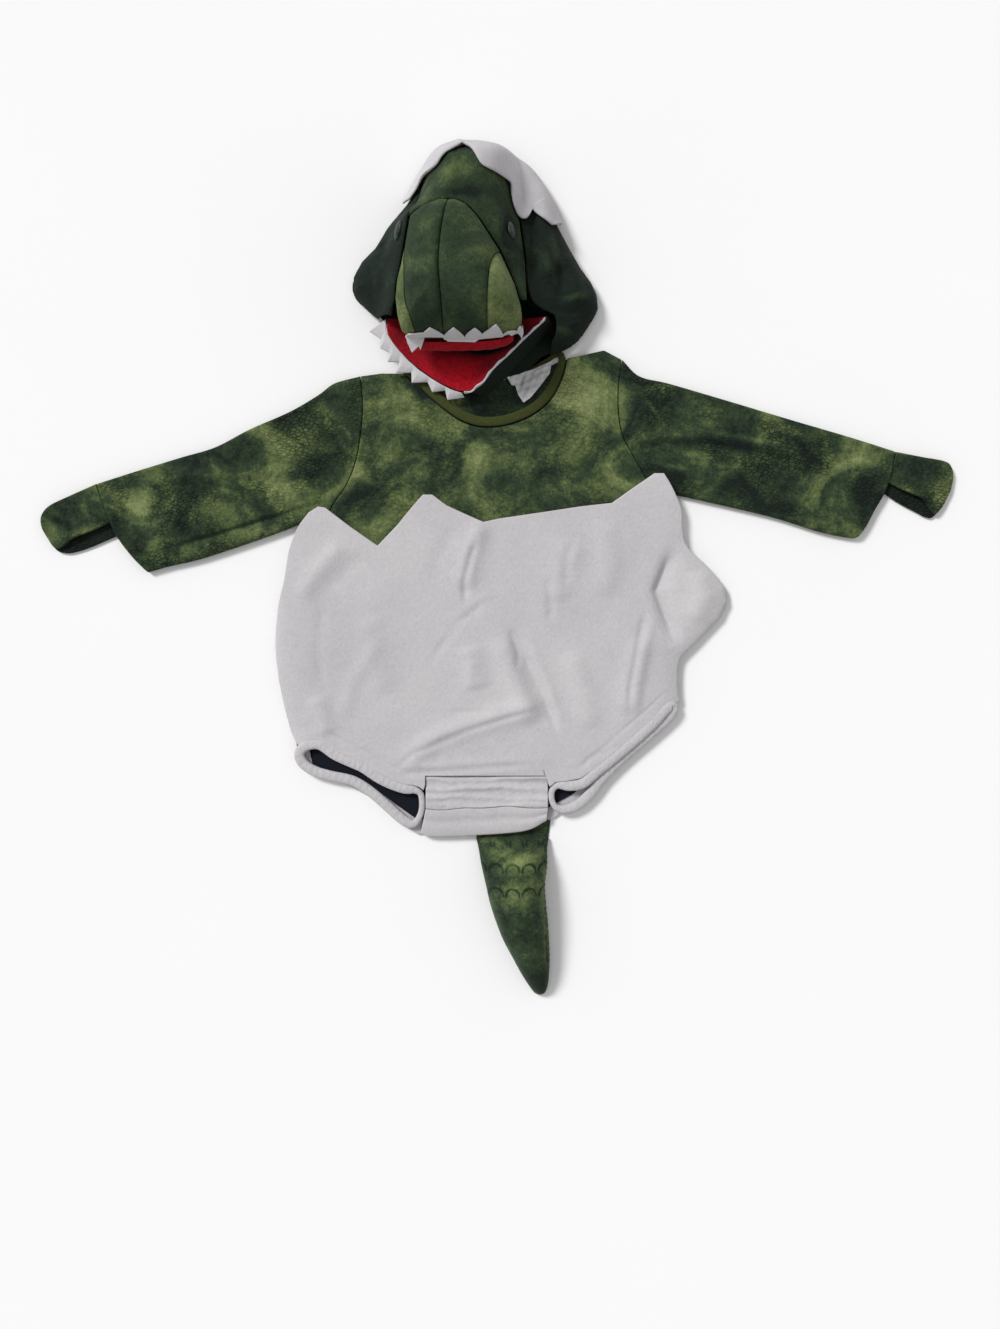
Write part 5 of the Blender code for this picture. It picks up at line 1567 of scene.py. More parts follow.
    def _yoke(self) -> None:
        """The yoke's front and back."""
        u, v = shares(220, 260.0), shares(150, 190.0)
        low = 0.16
        lower, upper = v[v < low] / low, (v[v >= low] - low) / (1.0 - low)
        lower = lower * 0.985
        gap = np.array([SEAM, 0.0])
        left = np.vstack([spread(self.low_left, lower), smooth(self.armhole_left, upper)]) + gap
        right = np.vstack([spread(self.low_right, lower), smooth(self.armhole_right, upper)]) - gap
        top = np.vstack([
            spread([left[-1], (-96, 164.5)], 12), smooth(self.neck_front, 150),
            spread([(76, 180.5), (91, 184), right[-1]], 24)])
        top = spread(top, u)
        plan = patch(spread([left[0], right[0]], u), top, left, right, u, v)
        thing = lying_cloth("front_yoke", plan, self.yoke_under(plan[..., 0], plan[..., 1]), self.cloth, 1.2)
        dye_and_painted_light(thing, self.yoke_spots)
        lay(dress(thing, self.wardrobe.velour))
        seam = [(x, y + 1.2) for x, y in Romper.back_top[1:-1]]
        top = [(-115 + SEAM, 162), (-94, 165), *self.neck_back, (75, 180), (91, 184), (106 - SEAM, 176)]
        u, v = shares(140, 260.0), shares(60, 130.0)
        sides = [smooth(self.armhole_left, v) + gap, smooth(self.armhole_right, v) - gap]
        low_line = [sides[0][0], *seam, sides[1][0]]
        plan = patch(cornered(low_line, u), cornered(top, u), *sides, u, v)
        thing = dye_and_painted_light(lying_cloth("back_yoke", plan, 0.0 * plan[..., 0], self.cloth, 1.0), (), -0.25)
        lay(dress(thing, self.wardrobe.velour))

    def _neck(self) -> None:
        """The ribbed binding, and the bare label inside the back of the neck."""
        line = smooth(self.binding, 300, closed=True)
        thing = roll("neck_binding", line[:, :3], line[:, 3], line[:, 4], 24, 0.03)
        lay(dress(thing, self.wardrobe.rib))
        t, v = shares(70, 45.0, edge=0.5), shares(34, 18.0, edge=0.5)
        plan = strip(spread(self.label_low, t), spread(self.label_high, t), v)
        lift = 0.98 * (1.0 - v[None, :]) ** 2 * t[:, None] ** 0.5
        x, y = plan[..., 0], plan[..., 1]
        crinkle = 0.5 * np.sin(0.55 * x + 0.8 * y) + 0.35 * np.sin(1.1 * x - 0.45 * y + 2.0)
        crinkle += 0.3 * np.sin(0.35 * x - 1.3 * y)
        under = 2.8 + lift + soft_step((y - 156.5) / 3.0) + 0.85 * crinkle + 0.5
        thing = dye_and_painted_light(lying_cloth("neck_label", plan, under, 0.35, 0.4), self.label_shade_and_light)
        lay(dress(thing, self.wardrobe.satin))

    def _sleeve(self, side: str, top: Line, low: Line, armhole: Line, cuff: Line, creases: Sequence[Fold],
                spots: Sequence[Spot]) -> None:
        """A flattened tube, open at both ends, whose wall turns in at each.

        Args:
            side: left or right.
            top: Its upper edge.
            low: Its lower edge.
            armhole: Its end at the yoke.
            cuff: Its end at the hand.
            creases: Its folds.
            spots: Its patches.
        """
        rows, count = 170, 74
        k = shares(rows, self.sleeve_length)
        a, b = smooth(top, k), smooth(low, k)
        width = np.linalg.norm(b - a, axis=1)[:, None]
        near = [np.clip(1.0 - 4.0 * k, 0.0, 1.0), np.clip(4.0 * k - 3.0, 0.0, 1.0)]
        ends = quarter_round(np.minimum(k, 1.0 - k) * self.sleeve_length / 1.2)[:, None]
        walls = []
        for inset, height, spare in ((0.0, self.tube, 3.4), (self.cloth, self.tube - 2 * self.cloth, 1.8)):
            ease = spare * np.linspace(0.0, 1.0, 9) ** 1.6
            inner = np.linspace(0.0, 1.0, count - 16)[1:-1]
            across = np.hstack(
                [inset + ease + 0 * width, inset + spare + inner * (width - 2 * inset - 2 * spare),
                                width - inset - ease[::-1]])
            up = 0.5 * height * quarter_round(np.minimum(across - inset, width - inset - across) / spare)
            thin = 0.5 * self.cloth * (1.0 - ends) * (1.0 if inset == 0.0 else -1.0)
            up = np.maximum(up - thin * np.minimum(1.0, up), 0.0)
            share = across / width
            plan = a[:, None] + (b - a)[:, None] * share[..., None]
            for amount, line in zip(near, (armhole, cuff)):
                plan = plan + amount[:, None, None] * self._bow(line, share)
            fade = np.clip(np.minimum(across, width - across) / 8.0, 0, 1)
            x, y = plan[..., 0], plan[..., 1]
            lift = (folds(x, y, creases) + 0.18 * ripple(x, y, 26.0, 0.3)) * fade
            middle = 0.5 * self.tube
            upper = np.dstack([plan, middle + up + lift])
            lower = np.dstack([plan, middle - up])[:, -2:0:-1]
            walls.append(np.concatenate([upper, lower], axis=1))
        rings = np.concatenate([walls[0], walls[1][::-1]])
        thing = dye_and_painted_light(skin(f"sleeve_{side}", rings, closed=True), spots)
        lay(dress(thing, self.wardrobe.sleeve))

    def _bow(self, line: Line, share: Array) -> Array:
        """How far a curve stands off the straight line between its ends, at shares of the way along it.

        Args:
            line: What the curve passes through.
            share: The shares.

        Returns:
            The steps in plan.
        """
        curve = smooth(line, 60)
        u = np.linspace(0.0, 1.0, 60)
        off = curve - (curve[:1] + (curve[-1:] - curve[:1]) * u[:, None])
        return np.dstack([np.interp(share, u, off[:, 0]), np.interp(share, u, off[:, 1])])

    def _cover(self, name: str, fold: Line, mouth: Line) -> None:
        """A cover folded over at its upper edge and open below, its two layers meeting at the fingertips.

        Args:
            name: The piece's name.
            fold: Its folded edge.
            mouth: Its open edge.
        """
        k = shares(90, self.cover_length)
        fold, mouth = smooth(fold, k), smooth(mouth, k)
        width = np.linalg.norm(mouth - fold, axis=1)[:, None]
        share = 1.0 - 0.62 * soft_step((k - 0.45) / 0.55)[:, None]
        tip = quarter_round(np.minimum(k, 1.0 - k) * self.cover_length / 1.2)[:, None]
        half = 0.5 * self.tube * (0.55 + 0.45 * share)
        gap = 1.4 * share**2 + 0.12
        ease = np.hstack(
            [1.0 - 0.04 * np.linspace(0, 1, 5) ** 0.7, np.linspace(0.955, 0.10, 22),
             0.10 * np.linspace(0.95, 0.03, 9)]) * width
        edge = quarter_round((width - ease) / 1.3)
        up = half * quarter_round(ease / 3.6) * (0.25 + 0.75 * tip)
        within = np.clip(ease, 1.9, None)
        clear = gap * quarter_round((within - 1.8) / 2.0)
        outer = clear + (up - clear) * (0.35 + 0.65 * edge)
        zero, rim = 0.0 * width, 1.8 + 0.0 * width
        short = 1.0 - 0.25 * (1.0 - soft_step((k - 0.45) / 0.5))[:, None]
        across = np.hstack([ease * short, zero, ease[:, ::-1], within, rim, (within * short)[:, ::-1]])
        height = np.hstack(
            [half + outer, half, (half - outer)[:, ::-1], half - clear, half, (half + clear)[:, ::-1]])
        plan = fold[:, None] + (mouth - fold)[:, None] * (across / width)[..., None]
        top = height > half + 0.3
        x, y = plan[..., 0], plan[..., 1]
        lift = 0.5 * ripple(x, y, 19.0, 2.3) * np.where(top, np.clip(across / 8.0, 0, 1), 0.0)
        lift *= np.clip((width - across) / 8.0, 0, 1)
        lift += folds(x, y, self.cover_creases) * top
        rings = np.dstack([plan, height + lift])
        # Painted shade: the inner layer is darkened, for the dark inside the slit
        inside = np.zeros_like(across)
        inside[:, 2 * ease.shape[1] + 1 :] = -0.55
        thing = dye_and_painted_light(skin(name, rings), self.cover_shade_and_light, inside)
        lay(dress(thing, self.wardrobe.sleeve))


@dataclass
class Hood:
    """The hood: back, two sides, forehead, egg-shell cap and eyes."""

    wardrobe: Wardrobe
    cloth: float = 2.2
    back_cloth: float = 2.0
    cap_cloth: float = 2.4
    cap_gap: float = 2.4
    edge: float = 2.4
    rise: float = 27.6
    face_height: float = 66.0
    nape: float = 4.0
    rim: float = 47.0
    brow: float = 61.0
    outline_left: Line = (
        (-100, 209), (-111, 219), (-121, 231), (-121, 245), (-114, 258), (-103, 269), (-94, 283), (-85, 295),
        (-76, 306), (-69, 319), (-61, 333))
    outline_top: Line = (
        (-61, 333), (-53, 342), (-43, 347.5), (-30, 349.5), (-12, 349.5), (2, 347), (14, 342))
    outline_right: Line = (
        (46, 179), (56, 182), (66, 188), (73, 196), (82, 210), (86, 219), (85, 230), (80, 241), (71, 253),
        (62, 269), (52, 288), (48, 300), (42, 312), (33, 326), (24, 336), (14, 342))
    face_left: Line = ((-81, 210), (-81.5, 219), (-76, 252), (-71, 278), (-65, 306), (-57, 336))
    face_right: Line = ((33, 207), (26, 222), (24, 252), (19, 285), (14, 342))
    snout_outline: Line = (
        (-69, 275), (-72, 261), (-77, 240), (-80, 228), (-81.5, 214), (-80, 200), (-77, 189), (-71, 184),
        (-59, 183), (-42, 183), (-22, 183), (-5, 184), (9, 185), (18, 189), (21, 197), (20, 207), (15, 224),
        (9, 237), (3, 250), (-7, 264), (-15, 275), (-24, 284), (-33, 288), (-46, 287.5), (-58, 283))
    creases: Sequence[Fold] = (
        Fold(((36, 290), (43, 268), (44, 250), (40, 232)), 7, 6.0),
        Fold(((57, 262), (66, 240), (68, 218)), 7, 4.0),
        Fold(((56, 250), (55, 232), (52, 216)), 5, -3.0),
        Fold(((-88, 288), (-84, 268), (-88, 246)), 6, 5.0),
        Fold(((-104, 262), (-96, 244), (-98, 226)), 6, 4.0),
        Fold(((-96, 270), (-90, 256)), 4, -2.5),
        Fold(((30, 316), (38, 300), (40, 284)), 6, 3.0),
        Fold(((30, 290), (31, 262), (30, 236)), 3.0, -2.6),
        Fold(((50, 276), (54, 256), (50, 234)), 2.6, -1.6),
        Fold(((40, 222), (58, 218), (78, 222)), 3.0, 1.4),
        Fold(((44, 212), (60, 209), (76, 214)), 2.6, -1.2),
        Fold(((-108, 250), (-102, 236), (-104, 222)), 2.4, -1.2),
        Fold(((-84, 296), (-82, 282)), 2.4, -1.4),
        Fold(((52, 196), (62, 200), (72, 204)), 2.6, 1.2),
    )
    forehead: Sequence[Fold] = (
        Fold(((-60, 300), (-40, 306), (-14, 302)), 5.0, 1.2),
        Fold(((-50, 322), (-28, 328), (-6, 320)), 4.0, -0.6),
        Fold(((6, 292), (10, 276), (9, 262)), 2.8, -1.8),
        Fold(((16, 290), (19, 272), (17, 254)), 2.4, 1.0),
        Fold(((2, 284), (3, 270)), 2.4, 0.9),
        Fold(((7.5, 282), (5.5, 268), (8.5, 254), (12, 250)), 1.8, -1.3),
        Fold(((9, 283), (14.5, 276), (16.5, 262), (13, 251)), 1.8, -1.3),
    )
    back_left: Line = (
        (-78, 190), (-97, 211), (-118, 231), (-118, 245), (-111, 257), (-100, 268), (-91, 283), (-82, 295),
        (-73, 306), (-66, 318), (-54, 337), (-42, 344))
    back_right: Line = (
        (38, 178), (54, 184.5), (64, 190), (71, 198), (79, 211), (83, 219), (82, 229), (77, 240), (68, 252),
        (59, 268), (49, 288), (39, 312), (22, 334), (0, 344))
    back_low: Line = ((-78, 190), (-66, 178), (-50, 168), (-14, 160), (20, 164), (38, 178))
    inner_left: Line = (
        (-86, 203.5), (-82.8, 212), (-82.1, 219), (-81, 228.4), (-78.1, 240.4), (-74.2, 259.3), (-71.9, 272),
        (-70.8, 280), (-66, 306), (-58.5, 334.5))
    inner_right: Line = (
        (46, 184), (50, 196), (48, 207), (38, 211), (30, 217), (26.2, 230), (24.8, 252), (22.5, 268),
        (20, 285), (17, 315), (14.8, 340.5))
    crown_left: Line = ((-70.5, 276), (-65, 306), (-57, 336))
    crown_right: Line = ((25.2, 213.5), (24.2, 238), (23.4, 252), (19, 285), (16, 315), (14, 341))
    brow_line: Line = (
        (-70.5, 276), (-58.5, 283.1), (-46.1, 287.8), (-37.6, 288.8), (-32.7, 288.5), (-23.4, 284.2),
        (-14.3, 275.1), (-6.2, 264.1), (3.8, 250.5), (9.9, 237.4), (15.9, 224.3), (18.8, 215), (21.5, 213),
        (25.2, 213.5))
    top_line: Line = ((-57, 336), (-50, 343), (-43, 347), (-30, 349), (-12, 349), (2, 346.5), (14, 341))
    cap_edge: Line = (
        (-73, 303), (-70, 304.5), (-66.5, 309), (-60, 317), (-56, 319), (-50, 318), (-45, 319), (-40, 324),
        (-33, 328), (-27.5, 332.5), (-26.8, 333), (-26.1, 332.3), (-21, 328), (-17, 322), (-13, 315),
        (-9, 312), (0, 310), (6, 309), (9, 307), (9.5, 300), (11.5, 292), (15, 286), (20, 284), (25, 286),
        (28.4, 292.6), (28.9, 293.4), (29.6, 292.8), (35, 287), (40, 283), (44, 281), (47, 283))
    cap_outer: Line = (
        (-76, 303), (-74, 308), (-69, 319), (-61, 333), (-53, 342), (-43, 347.5), (-30, 349.5), (-12, 349.5),
        (2, 347), (14, 342), (24, 336), (33, 326), (42, 312), (48, 300), (52, 288), (50, 286))
    side_spots: Sequence[Spot] = (
        Spot(50, 262, 5, 12, 0.34, 10), Spot(66, 222, 16, 4, 0.34, 18), Spot(54, 196, 10, 4, 0.24),
        Spot(-100, 250, 6, 8, 0.10), Spot(-86, 232, 5, 14, 0.06), Spot(38, 296, 6, 8, 0.10),
        Spot(72, 206, 8, 6, 0.12))
    # Dye patches, with painted shade along the brow crease and in the creases round the right eye
    crown_tone_and_shade: Sequence[Spot] = (
        Spot(-34, 312, 18, 8, 0.24), Spot(-58, 300, 8, 14, 0.16), Spot(-20, 334, 16, 7, -0.16),
        Spot(6, 300, 8, 12, -0.06), Spot(-30, 294, 22, 4, -0.30), Spot(10, 268, 5.5, 15, -0.55),
        Spot(18, 246, 3, 14, 0.04), Spot(2, 262, 4, 8, 0.08))

    def __post_init__(self) -> None:
        """Join the outlines of the whole hood and of its face."""
        self.outline = (*self.outline_left, *self.outline_top[1:-1], *self.outline_right[::-1], (44, 110),
                        (-98, 110))
        self.face = (*self.face_left, *self.outline_top[1:-1], *self.face_right[::-1], (30, 170), (-80, 170))

    def nape_lift(self, x: Array, y: Array) -> Array:
        """How far the hood's back rises where it lies on the neck of the top."""
        return self.nape * soft_step((200.0 - y) / 15.0) + 0.0 * x

    def snout_rim(self, x: Array, y: Array) -> Array:
        """Height of the snout's edge: low at the lip, high at the brow."""
        return self.rim + (self.brow - self.rim) * soft_step((y - 235.0) / 48.0) + 0.0 * x

    def skull(self, x: Array, y: Array) -> Array:
        """Outside of the hood: round at the sides, full at the forehead, drawn up to the snout's edge.

        Args:
            x, y: Where to measure.

        Returns:
            The height.
        """
        full = quarter_round(depth_inside(x, y, self.outline) / 40.0)
        side = self.edge + self.nape_lift(x, y) + self.rise * full
        side = side + folds(x, y, self.creases) * quarter_round((side - self.edge) / self.rise)
        face = side + (self.face_height - side) * soft_round(depth_inside(x, y, self.face) / 30.0)
        inside = depth_inside(x, y, self.snout_outline)
        away, _ = line_distance(x, y, self.snout_outline, closed=True)
        away = np.where(inside > 0, 0.0, away)
        pull = np.exp(-((away / 13.0) ** 2)) * soft_step((y - 196.0) / 14.0)
        return face + (self.snout_rim(x, y) + 3.5 - face) * pull

    def brow_skull(self, x: Array, y: Array) -> Array:
        """The outside with the forehead's own creases."""
        return self.skull(x, y) + folds(x, y, self.forehead)

    def floor(self, x: Array, y: Array) -> Array:
        """The least height of the hood's front cloth, just above its back."""
        return self.nape_lift(x, y) + self.back_cloth + SEAM + 0.0 * x

    def build(self) -> None:
        """Make and dress every piece."""
        u, v = shares(90, 110.0), shares(150, 190.0)
        plan = patch(smooth(self.back_low, u), spread([(-42, 344), (0, 344)], u), smooth(self.back_left, v),
                     smooth(self.back_right, v), u, v)
        lift = self.nape_lift(plan[..., 0], plan[..., 1])
        thing = dye_and_painted_light(lying_cloth("hood_back", plan, lift, self.back_cloth, 1.0), (), -0.1)
        lay(dress(thing, self.wardrobe.hood))
        u, v = shares(150, 150.0), shares(80, 45.0, crowd=1.25)
        self._side("hood_left", strip(smooth(self.outline_left, u), smooth(self.inner_left, u), v))
        u, v = shares(190, 210.0), shares(90, 50.0, crowd=1.25)
        self._side("hood_right", strip(smooth(self.outline_right, u), smooth(self.inner_right, u), v))
        u, v = shares(150, 120.0), shares(110, 70.0)
        plan = patch(smooth(self.brow_line, u), smooth(self.top_line, u), smooth(self.crown_left, v),
                     smooth(self.crown_right, v), u, v)
        thing = domed_cloth("hood_crown", plan, self.brow_skull, 0.0, -self.cloth, self.floor, 2.2)
        dye_and_painted_light(thing, self.crown_tone_and_shade)
        lay(dress(thing, self.wardrobe.face))
        u, v = shares(260, 190.0), shares(70, 26.0, crowd=1.4)
        plan = strip(smooth(self.cap_outer, u), smooth(self.cap_edge, u), v)
        thing = domed_cloth("shell_cap", plan, self.skull, self.cap_gap + self.cap_cloth, self.cap_gap, None,
                            2.0, 90)
        lay(dress(thing, self.wardrobe.cap))
        self._eye("eye_right", 11.5, 268.5, 2.4, 7.0, -0.15)
        self._eye("eye_left", -78.5, 268.0, 2.4, 7.5, 0.2)

    def _side(self, name: str, plan: Array) -> None:
        """One side of the hood."""
        thing = dye_and_painted_light(domed_cloth(name, plan, self.skull, 0.0, -self.cloth, self.floor, 1.4), self.side_spots)
        lay(dress(thing, self.wardrobe.hood))

    def _eye(self, name: str, x: float, y: float, half_width: float, half_length: float, lean: float) -> None:
        """A small raised lens lying on the hood.

        Args:
            name: The piece's name.
            x, y: Its middle.
            half_width: Half its width.
            half_length: Half its length.
            lean: How far its top leans over, as a share of its length.
        """
        turn = 2 * np.pi * np.arange(40) / 40
        reach = np.cos(np.linspace(0.0, 0.48 * np.pi, 12))
        plan = np.dstack([
            x + reach[:, None] * (half_width * np.cos(turn) + lean * half_length * np.sin(turn)),
            y + reach[:, None] * half_length * np.sin(turn)])
        points, off = standing_off(plan, self.skull)
        proud = 0.8 + 2.2 * np.sqrt(1.0 - reach[:, None, None] ** 2)
        thing = skin(name, np.vstack([(points + off * 0.4)[::-1], points + off * proud]))
        dress(thing, self.wardrobe.eye)


@dataclass
class Snout:
    """The stuffed upper jaw: four panels, the red palate under them and the felt teeth on the lip."""

    wardrobe: Wardrobe
    hood: Hood
    height: float = 92.0
    under: float = 31.0
    seam_left: Line = ((-70, 275), (-73, 260), (-74, 243), (-73, 227), (-72, 205), (-68, 193), (-65, 183))
    seam_centre: Line = ((-38, 288), (-41, 268), (-44, 246), (-45, 229), (-44, 216), (-43, 201), (-42.5, 183))
    seam_right: Line = ((4, 249), (-2, 240), (-5, 229), (-6, 218), (-7, 203), (-7, 192), (-7, 184))
    edge_left: Line = (
        (-70.6, 274), (-73, 259), (-77, 240), (-80, 228), (-81.2, 214), (-79.7, 200), (-76.5, 189.3),
        (-71, 184.6), (-66, 183.8))
    brow_left: Line = ((-68.6, 275.2), (-58, 282.2), (-46, 286.8), (-38.3, 287.6))
    brow_right: Line = ((-37.5, 287.8), (-33, 287.5), (-24, 283.5), (-15, 274.5), (-7, 263.5), (3, 250))
    edge_right: Line = (
        (4.2, 248), (9, 237), (15, 224), (19.6, 207), (20.6, 197), (17.8, 189.4), (9, 185.6), (-6.4, 184.6))
    left_side: Line = (
        (-64.6, 183.4), (-67.6, 193), (-71.6, 205), (-72.6, 227), (-73.4, 243), (-72.3, 260), (-68.6, 275.2))
    centre_left: Line = (
        (-42.8, 183.4), (-43.3, 201), (-44.3, 216), (-45.3, 229), (-44.3, 246), (-41.4, 268), (-38.3, 287.6))
    centre_right: Line = (
        (-42.2, 183.4), (-42.7, 201), (-43.7, 216), (-44.7, 229), (-43.7, 246), (-40.8, 268), (-37.5, 287.8))
    right_side: Line = (
        (-7.4, 184.4), (-7.3, 192), (-7.3, 203), (-6.4, 218), (-5.4, 229), (-2.5, 240), (3, 250))
    lip_left: Line = ((-64.6, 183.4), (-54, 183.2), (-42.8, 183.4))
    lip_right: Line = ((-42.2, 183.4), (-22, 183.4), (-7.4, 184.4))
    dents: Sequence[Fold] = (
        Fold(((-62, 236), (-50, 242), (-34, 246)), 3.0, -0.8),
        Fold(((-66, 212), (-60, 226), (-58, 246)), 5.0, 0.7),
        Fold(((-28, 205), (-20, 226), (-18, 250)), 6.0, 0.6),
        Fold(((-10, 206), (-12, 228)), 3.0, -0.7),
        Fold(((6, 204), (4, 222)), 3.0, 0.5),
    )
    palate: Line = (
        (2.8, 43.6), (5.4, 41.2), (7.2, 37.2), (7.0, 33.0), (4.6, 30.0), (0.0, 28.6), (-14.0, 28.2),
        (-36.0, 28.2))
    palate_cloth: float = 1.7
    palate_line: Line = (
        (-71.2, 186.0), (-66, 183.8), (-54, 182.8), (-40, 182.8), (-22, 183), (-8, 183.6), (6, 185.4),
        (14, 188))
    teeth_foot: Line = (
        (-73.4, 183.4), (-58, 183.2), (-43, 183.2), (-39.4, 180.6), (-25.2, 180.4), (-17.3, 180.2),
        (-12.9, 183), (1.6, 184.2), (10.6, 185.6), (17.4, 187), (20.6, 189.4))
    teeth_tips: Line = (
        (-73, 184.6), (-58.2, 184.4), (-52.8, 186.6), (-41.9, 183.6), (-33.8, 186.6), (-25.6, 183.2),
        (-16.9, 186.6), (-11.4, 184.4), (-0.1, 188.6), (5.4, 185), (16.4, 188.4), (20.4, 193.4))
    corner_teeth: dict = field(default_factory=lambda: {
        "upper_teeth_corner_left": (
            ((-73.5, 184.6), (-70, 184), (-66, 183.8), (-62.5, 183.6), (-57.9, 183.4)),
            ((-72.2, 179), (-68.7, 171.8), (-63, 176.4), (-61.7, 173.8), (-58.4, 181.2))),
        "upper_teeth_corner_right": (
            ((15, 186.8), (18.8, 188.4), (21.6, 191.6)), ((19.2, 185), (20.6, 181.4), (22, 186)))})
    top_spots: Sequence[Spot] = (
        Spot(-60, 262, 8, 14, 0.10), Spot(-46, 282, 18, 4, 0.12), Spot(-52, 205, 8, 12, 0.06),
        Spot(-30, 240, 10, 14, -0.05), Spot(-24, 196, 16, 8, -0.06), Spot(-50, 240, 14, 5, -0.10, 20),
        Spot(-16, 262, 6, 12, 0.10, -40))
    side_spots: Sequence[Spot] = (
        Spot(2, 232, 8, 12, 0.12), Spot(4, 206, 10, 6, -0.10), Spot(14, 200, 5, 14, -0.06))

    def top(self, x: Array, y: Array) -> Array:
        """Top of the stuffed snout: full in the middle, drawn in along its seams and creases.

        Args:
            x, y: Where to measure.

        Returns:
            The height.
        """
        depth = depth_inside(x, y, self.hood.snout_outline)
        rim = self.hood.snout_rim(x, y)
        top = rim + (self.height - rim) * quarter_round(depth / 37.0)
        fade = quarter_round(depth / 14.0)
        for seam, wide, deep in ((self.seam_centre, 2.6, 1.6), (self.seam_right, 3.2, 2.6),
                                 (self.seam_left, 2.4, 1.4)):
            away, _ = line_distance(x, y, seam)
            top = top - deep * fade * np.exp(-((away / wide) ** 2))
        return top

    def dented(self, x: Array, y: Array) -> Array:
        """The top with the small dents and puckers of stuffed cloth.

        Args:
            x, y: Where to measure.

        Returns:
            The height.
        """
        fade = quarter_round(depth_inside(x, y, self.hood.snout_outline) / 14.0)
        top = self.top(x, y) + folds(x, y, self.dents) * fade
        for seam in (self.seam_centre, self.seam_right, self.seam_left):
            away, place = line_distance(x, y, seam)
            pucker = 0.22 * np.sin(150.0 * place + 5.0 * np.sin(23.0 * place))
            top = top + pucker * np.exp(-((away / 3.4) ** 2)) * fade
        return top + 0.25 * ripple(x, y, 21.0, 0.9) * fade

    def bottom(self, x: Array, y: Array) -> Array:
        """Underside of the snout."""
        full = quarter_round(depth_inside(x, y, self.hood.snout_outline) / 20.0)
        return self.under + (self.rim_low - self.under) * (1.0 - full)

    @property
    def rim_low(self) -> float:
        """Height of the underside at the snout's edge."""
        return self.hood.rim - 2.0

    def build(self) -> None:
        """Make and dress every piece."""
        u, v = shares(110, 100.0, crowd=1.0, edge=2.4, steps=6), shares(60, 34.0, edge=2.4, steps=6)
        gap = np.array([SEAM / 2, 0.0])
        left = np.array([*self.seam_left[:-1], (-65.4 + SEAM / 2, 183.8)])
        right = np.array([*self.seam_right[:-1], (-6.8 - SEAM / 2, 185.4)])
        narrow = shares(34, 9.0, edge=2.4, steps=6)
        self._gore("snout_side_left", strip(smooth(self.edge_left, u), smooth(left, u) - gap, narrow),
                   self.side_spots, True)
        self._gore("snout_side_right", strip(smooth(right, u) + gap, smooth(self.edge_right, u), v),
                   self.side_spots, True)
        crowded = shares(120, 104.0, crowd=1.25, edge=2.4, steps=6)
        for name, first, second, brow, lip in (
            ("snout_top_left", self.left_side, self.centre_left, self.brow_left, self.lip_left),
            ("snout_top_right", self.centre_right, self.right_side, self.brow_right, self.lip_right),
        ):
            plan = patch(smooth(lip, v), smooth(brow, v), smooth(first, crowded), smooth(second, crowded), v,
                         crowded)
            self._gore(name, plan, self.top_spots, False)
        self._palate()
        self._teeth()

    def _gore(self, name: str, plan: Array, spots: Sequence[Spot], light: bool) -> None:
        """One stuffed panel, its upper edges rounded into the seams.

        Args:
            name: The piece's name.
            plan: Grid of plan points.
            spots: Its patches.
            light: Whether it is of the yellow-green velour.
        """
        x, y = plan[..., 0], plan[..., 1]
        top, bottom = self.dented(x, y), self.bottom(x, y)
        _, _, rim = lengths_along(np.dstack([plan, 0.0 * x]))
        top = top - 1.3 * (1.0 - quarter_round(rim / 2.6))
        thing = dye_and_painted_light(between(name, np.dstack([plan, top]), np.dstack([plan, bottom]), 5), spots)
        finish = self.wardrobe.gore if light else self.wardrobe.face
        dress(thing, finish)

    def _palate(self) -> None:
        """The red cloth that turns under the lip."""
        u = shares(110, 75.0)
        along = smooth(self.palate_line, u)
        narrow = (1.0 - 0.45 * np.abs(2.0 * u - 1.0) ** 6)[:, None]
        middle = -33.0
        profile = smooth(self.palate, shares(70, 58.0))
        step = np.gradient(profile, axis=0)
        side = np.column_stack([step[:, 1], -step[:, 0]]) / np.linalg.norm(step, axis=1)[:, None]
        grids = []
        for inward in (0.0, self.palate_cloth):
            line = profile + side * inward
            ahead = np.where(line[:, 0] > 0.6, 0.6 + (line[:, 0] - 0.6) * narrow, line[:, 0])
            lean = np.clip(-line[:, 0], 0.0, None) / 60.0
            x = along[:, :1] + (middle - along[:, :1]) * lean
            grids.append(np.dstack([x, along[:, 1:] - ahead, np.broadcast_to(line[:, 1], ahead.shape)]))
        wave = 0.35 * np.sin(0.5 * along[:, :1]) * np.sin(np.pi * shares(70, 58.0))[None, :]
        for grid in grids:
            grid[..., 1] += wave
        thing = between("palate", grids[0], grids[1], 1)
        lay(dress(thing, self.wardrobe.red))

    def _teeth(self) -> None:
        """The zigzag strip of felt on the lip, and the longer teeth that hang at its corners."""
        u, v = shares(230, 100.0, edge=0.8), shares(26, 6.0, edge=0.8)
        plan = strip(cornered(self.teeth_foot, u), cornered(self.teeth_tips, u), v)
        thing = domed_cloth("upper_teeth", plan, self.lip, 1.9, 0.5, None, 0.7)
        lay(dress(thing, self.wardrobe.felt))
        for name, (foot, tips) in self.corner_teeth.items():
            u, v = shares(90, 16.0, edge=0.6), shares(40, 10.0, edge=0.6)
            plan = strip(cornered(foot, u), cornered(tips, u), v)
            drop = 6.0 * soft_step((184.5 - plan[..., 1]) / 14.0)
            thing = lying_cloth(name, plan, 47.4 - drop, 1.4, 0.7)
            lay(dress(thing, self.wardrobe.felt))

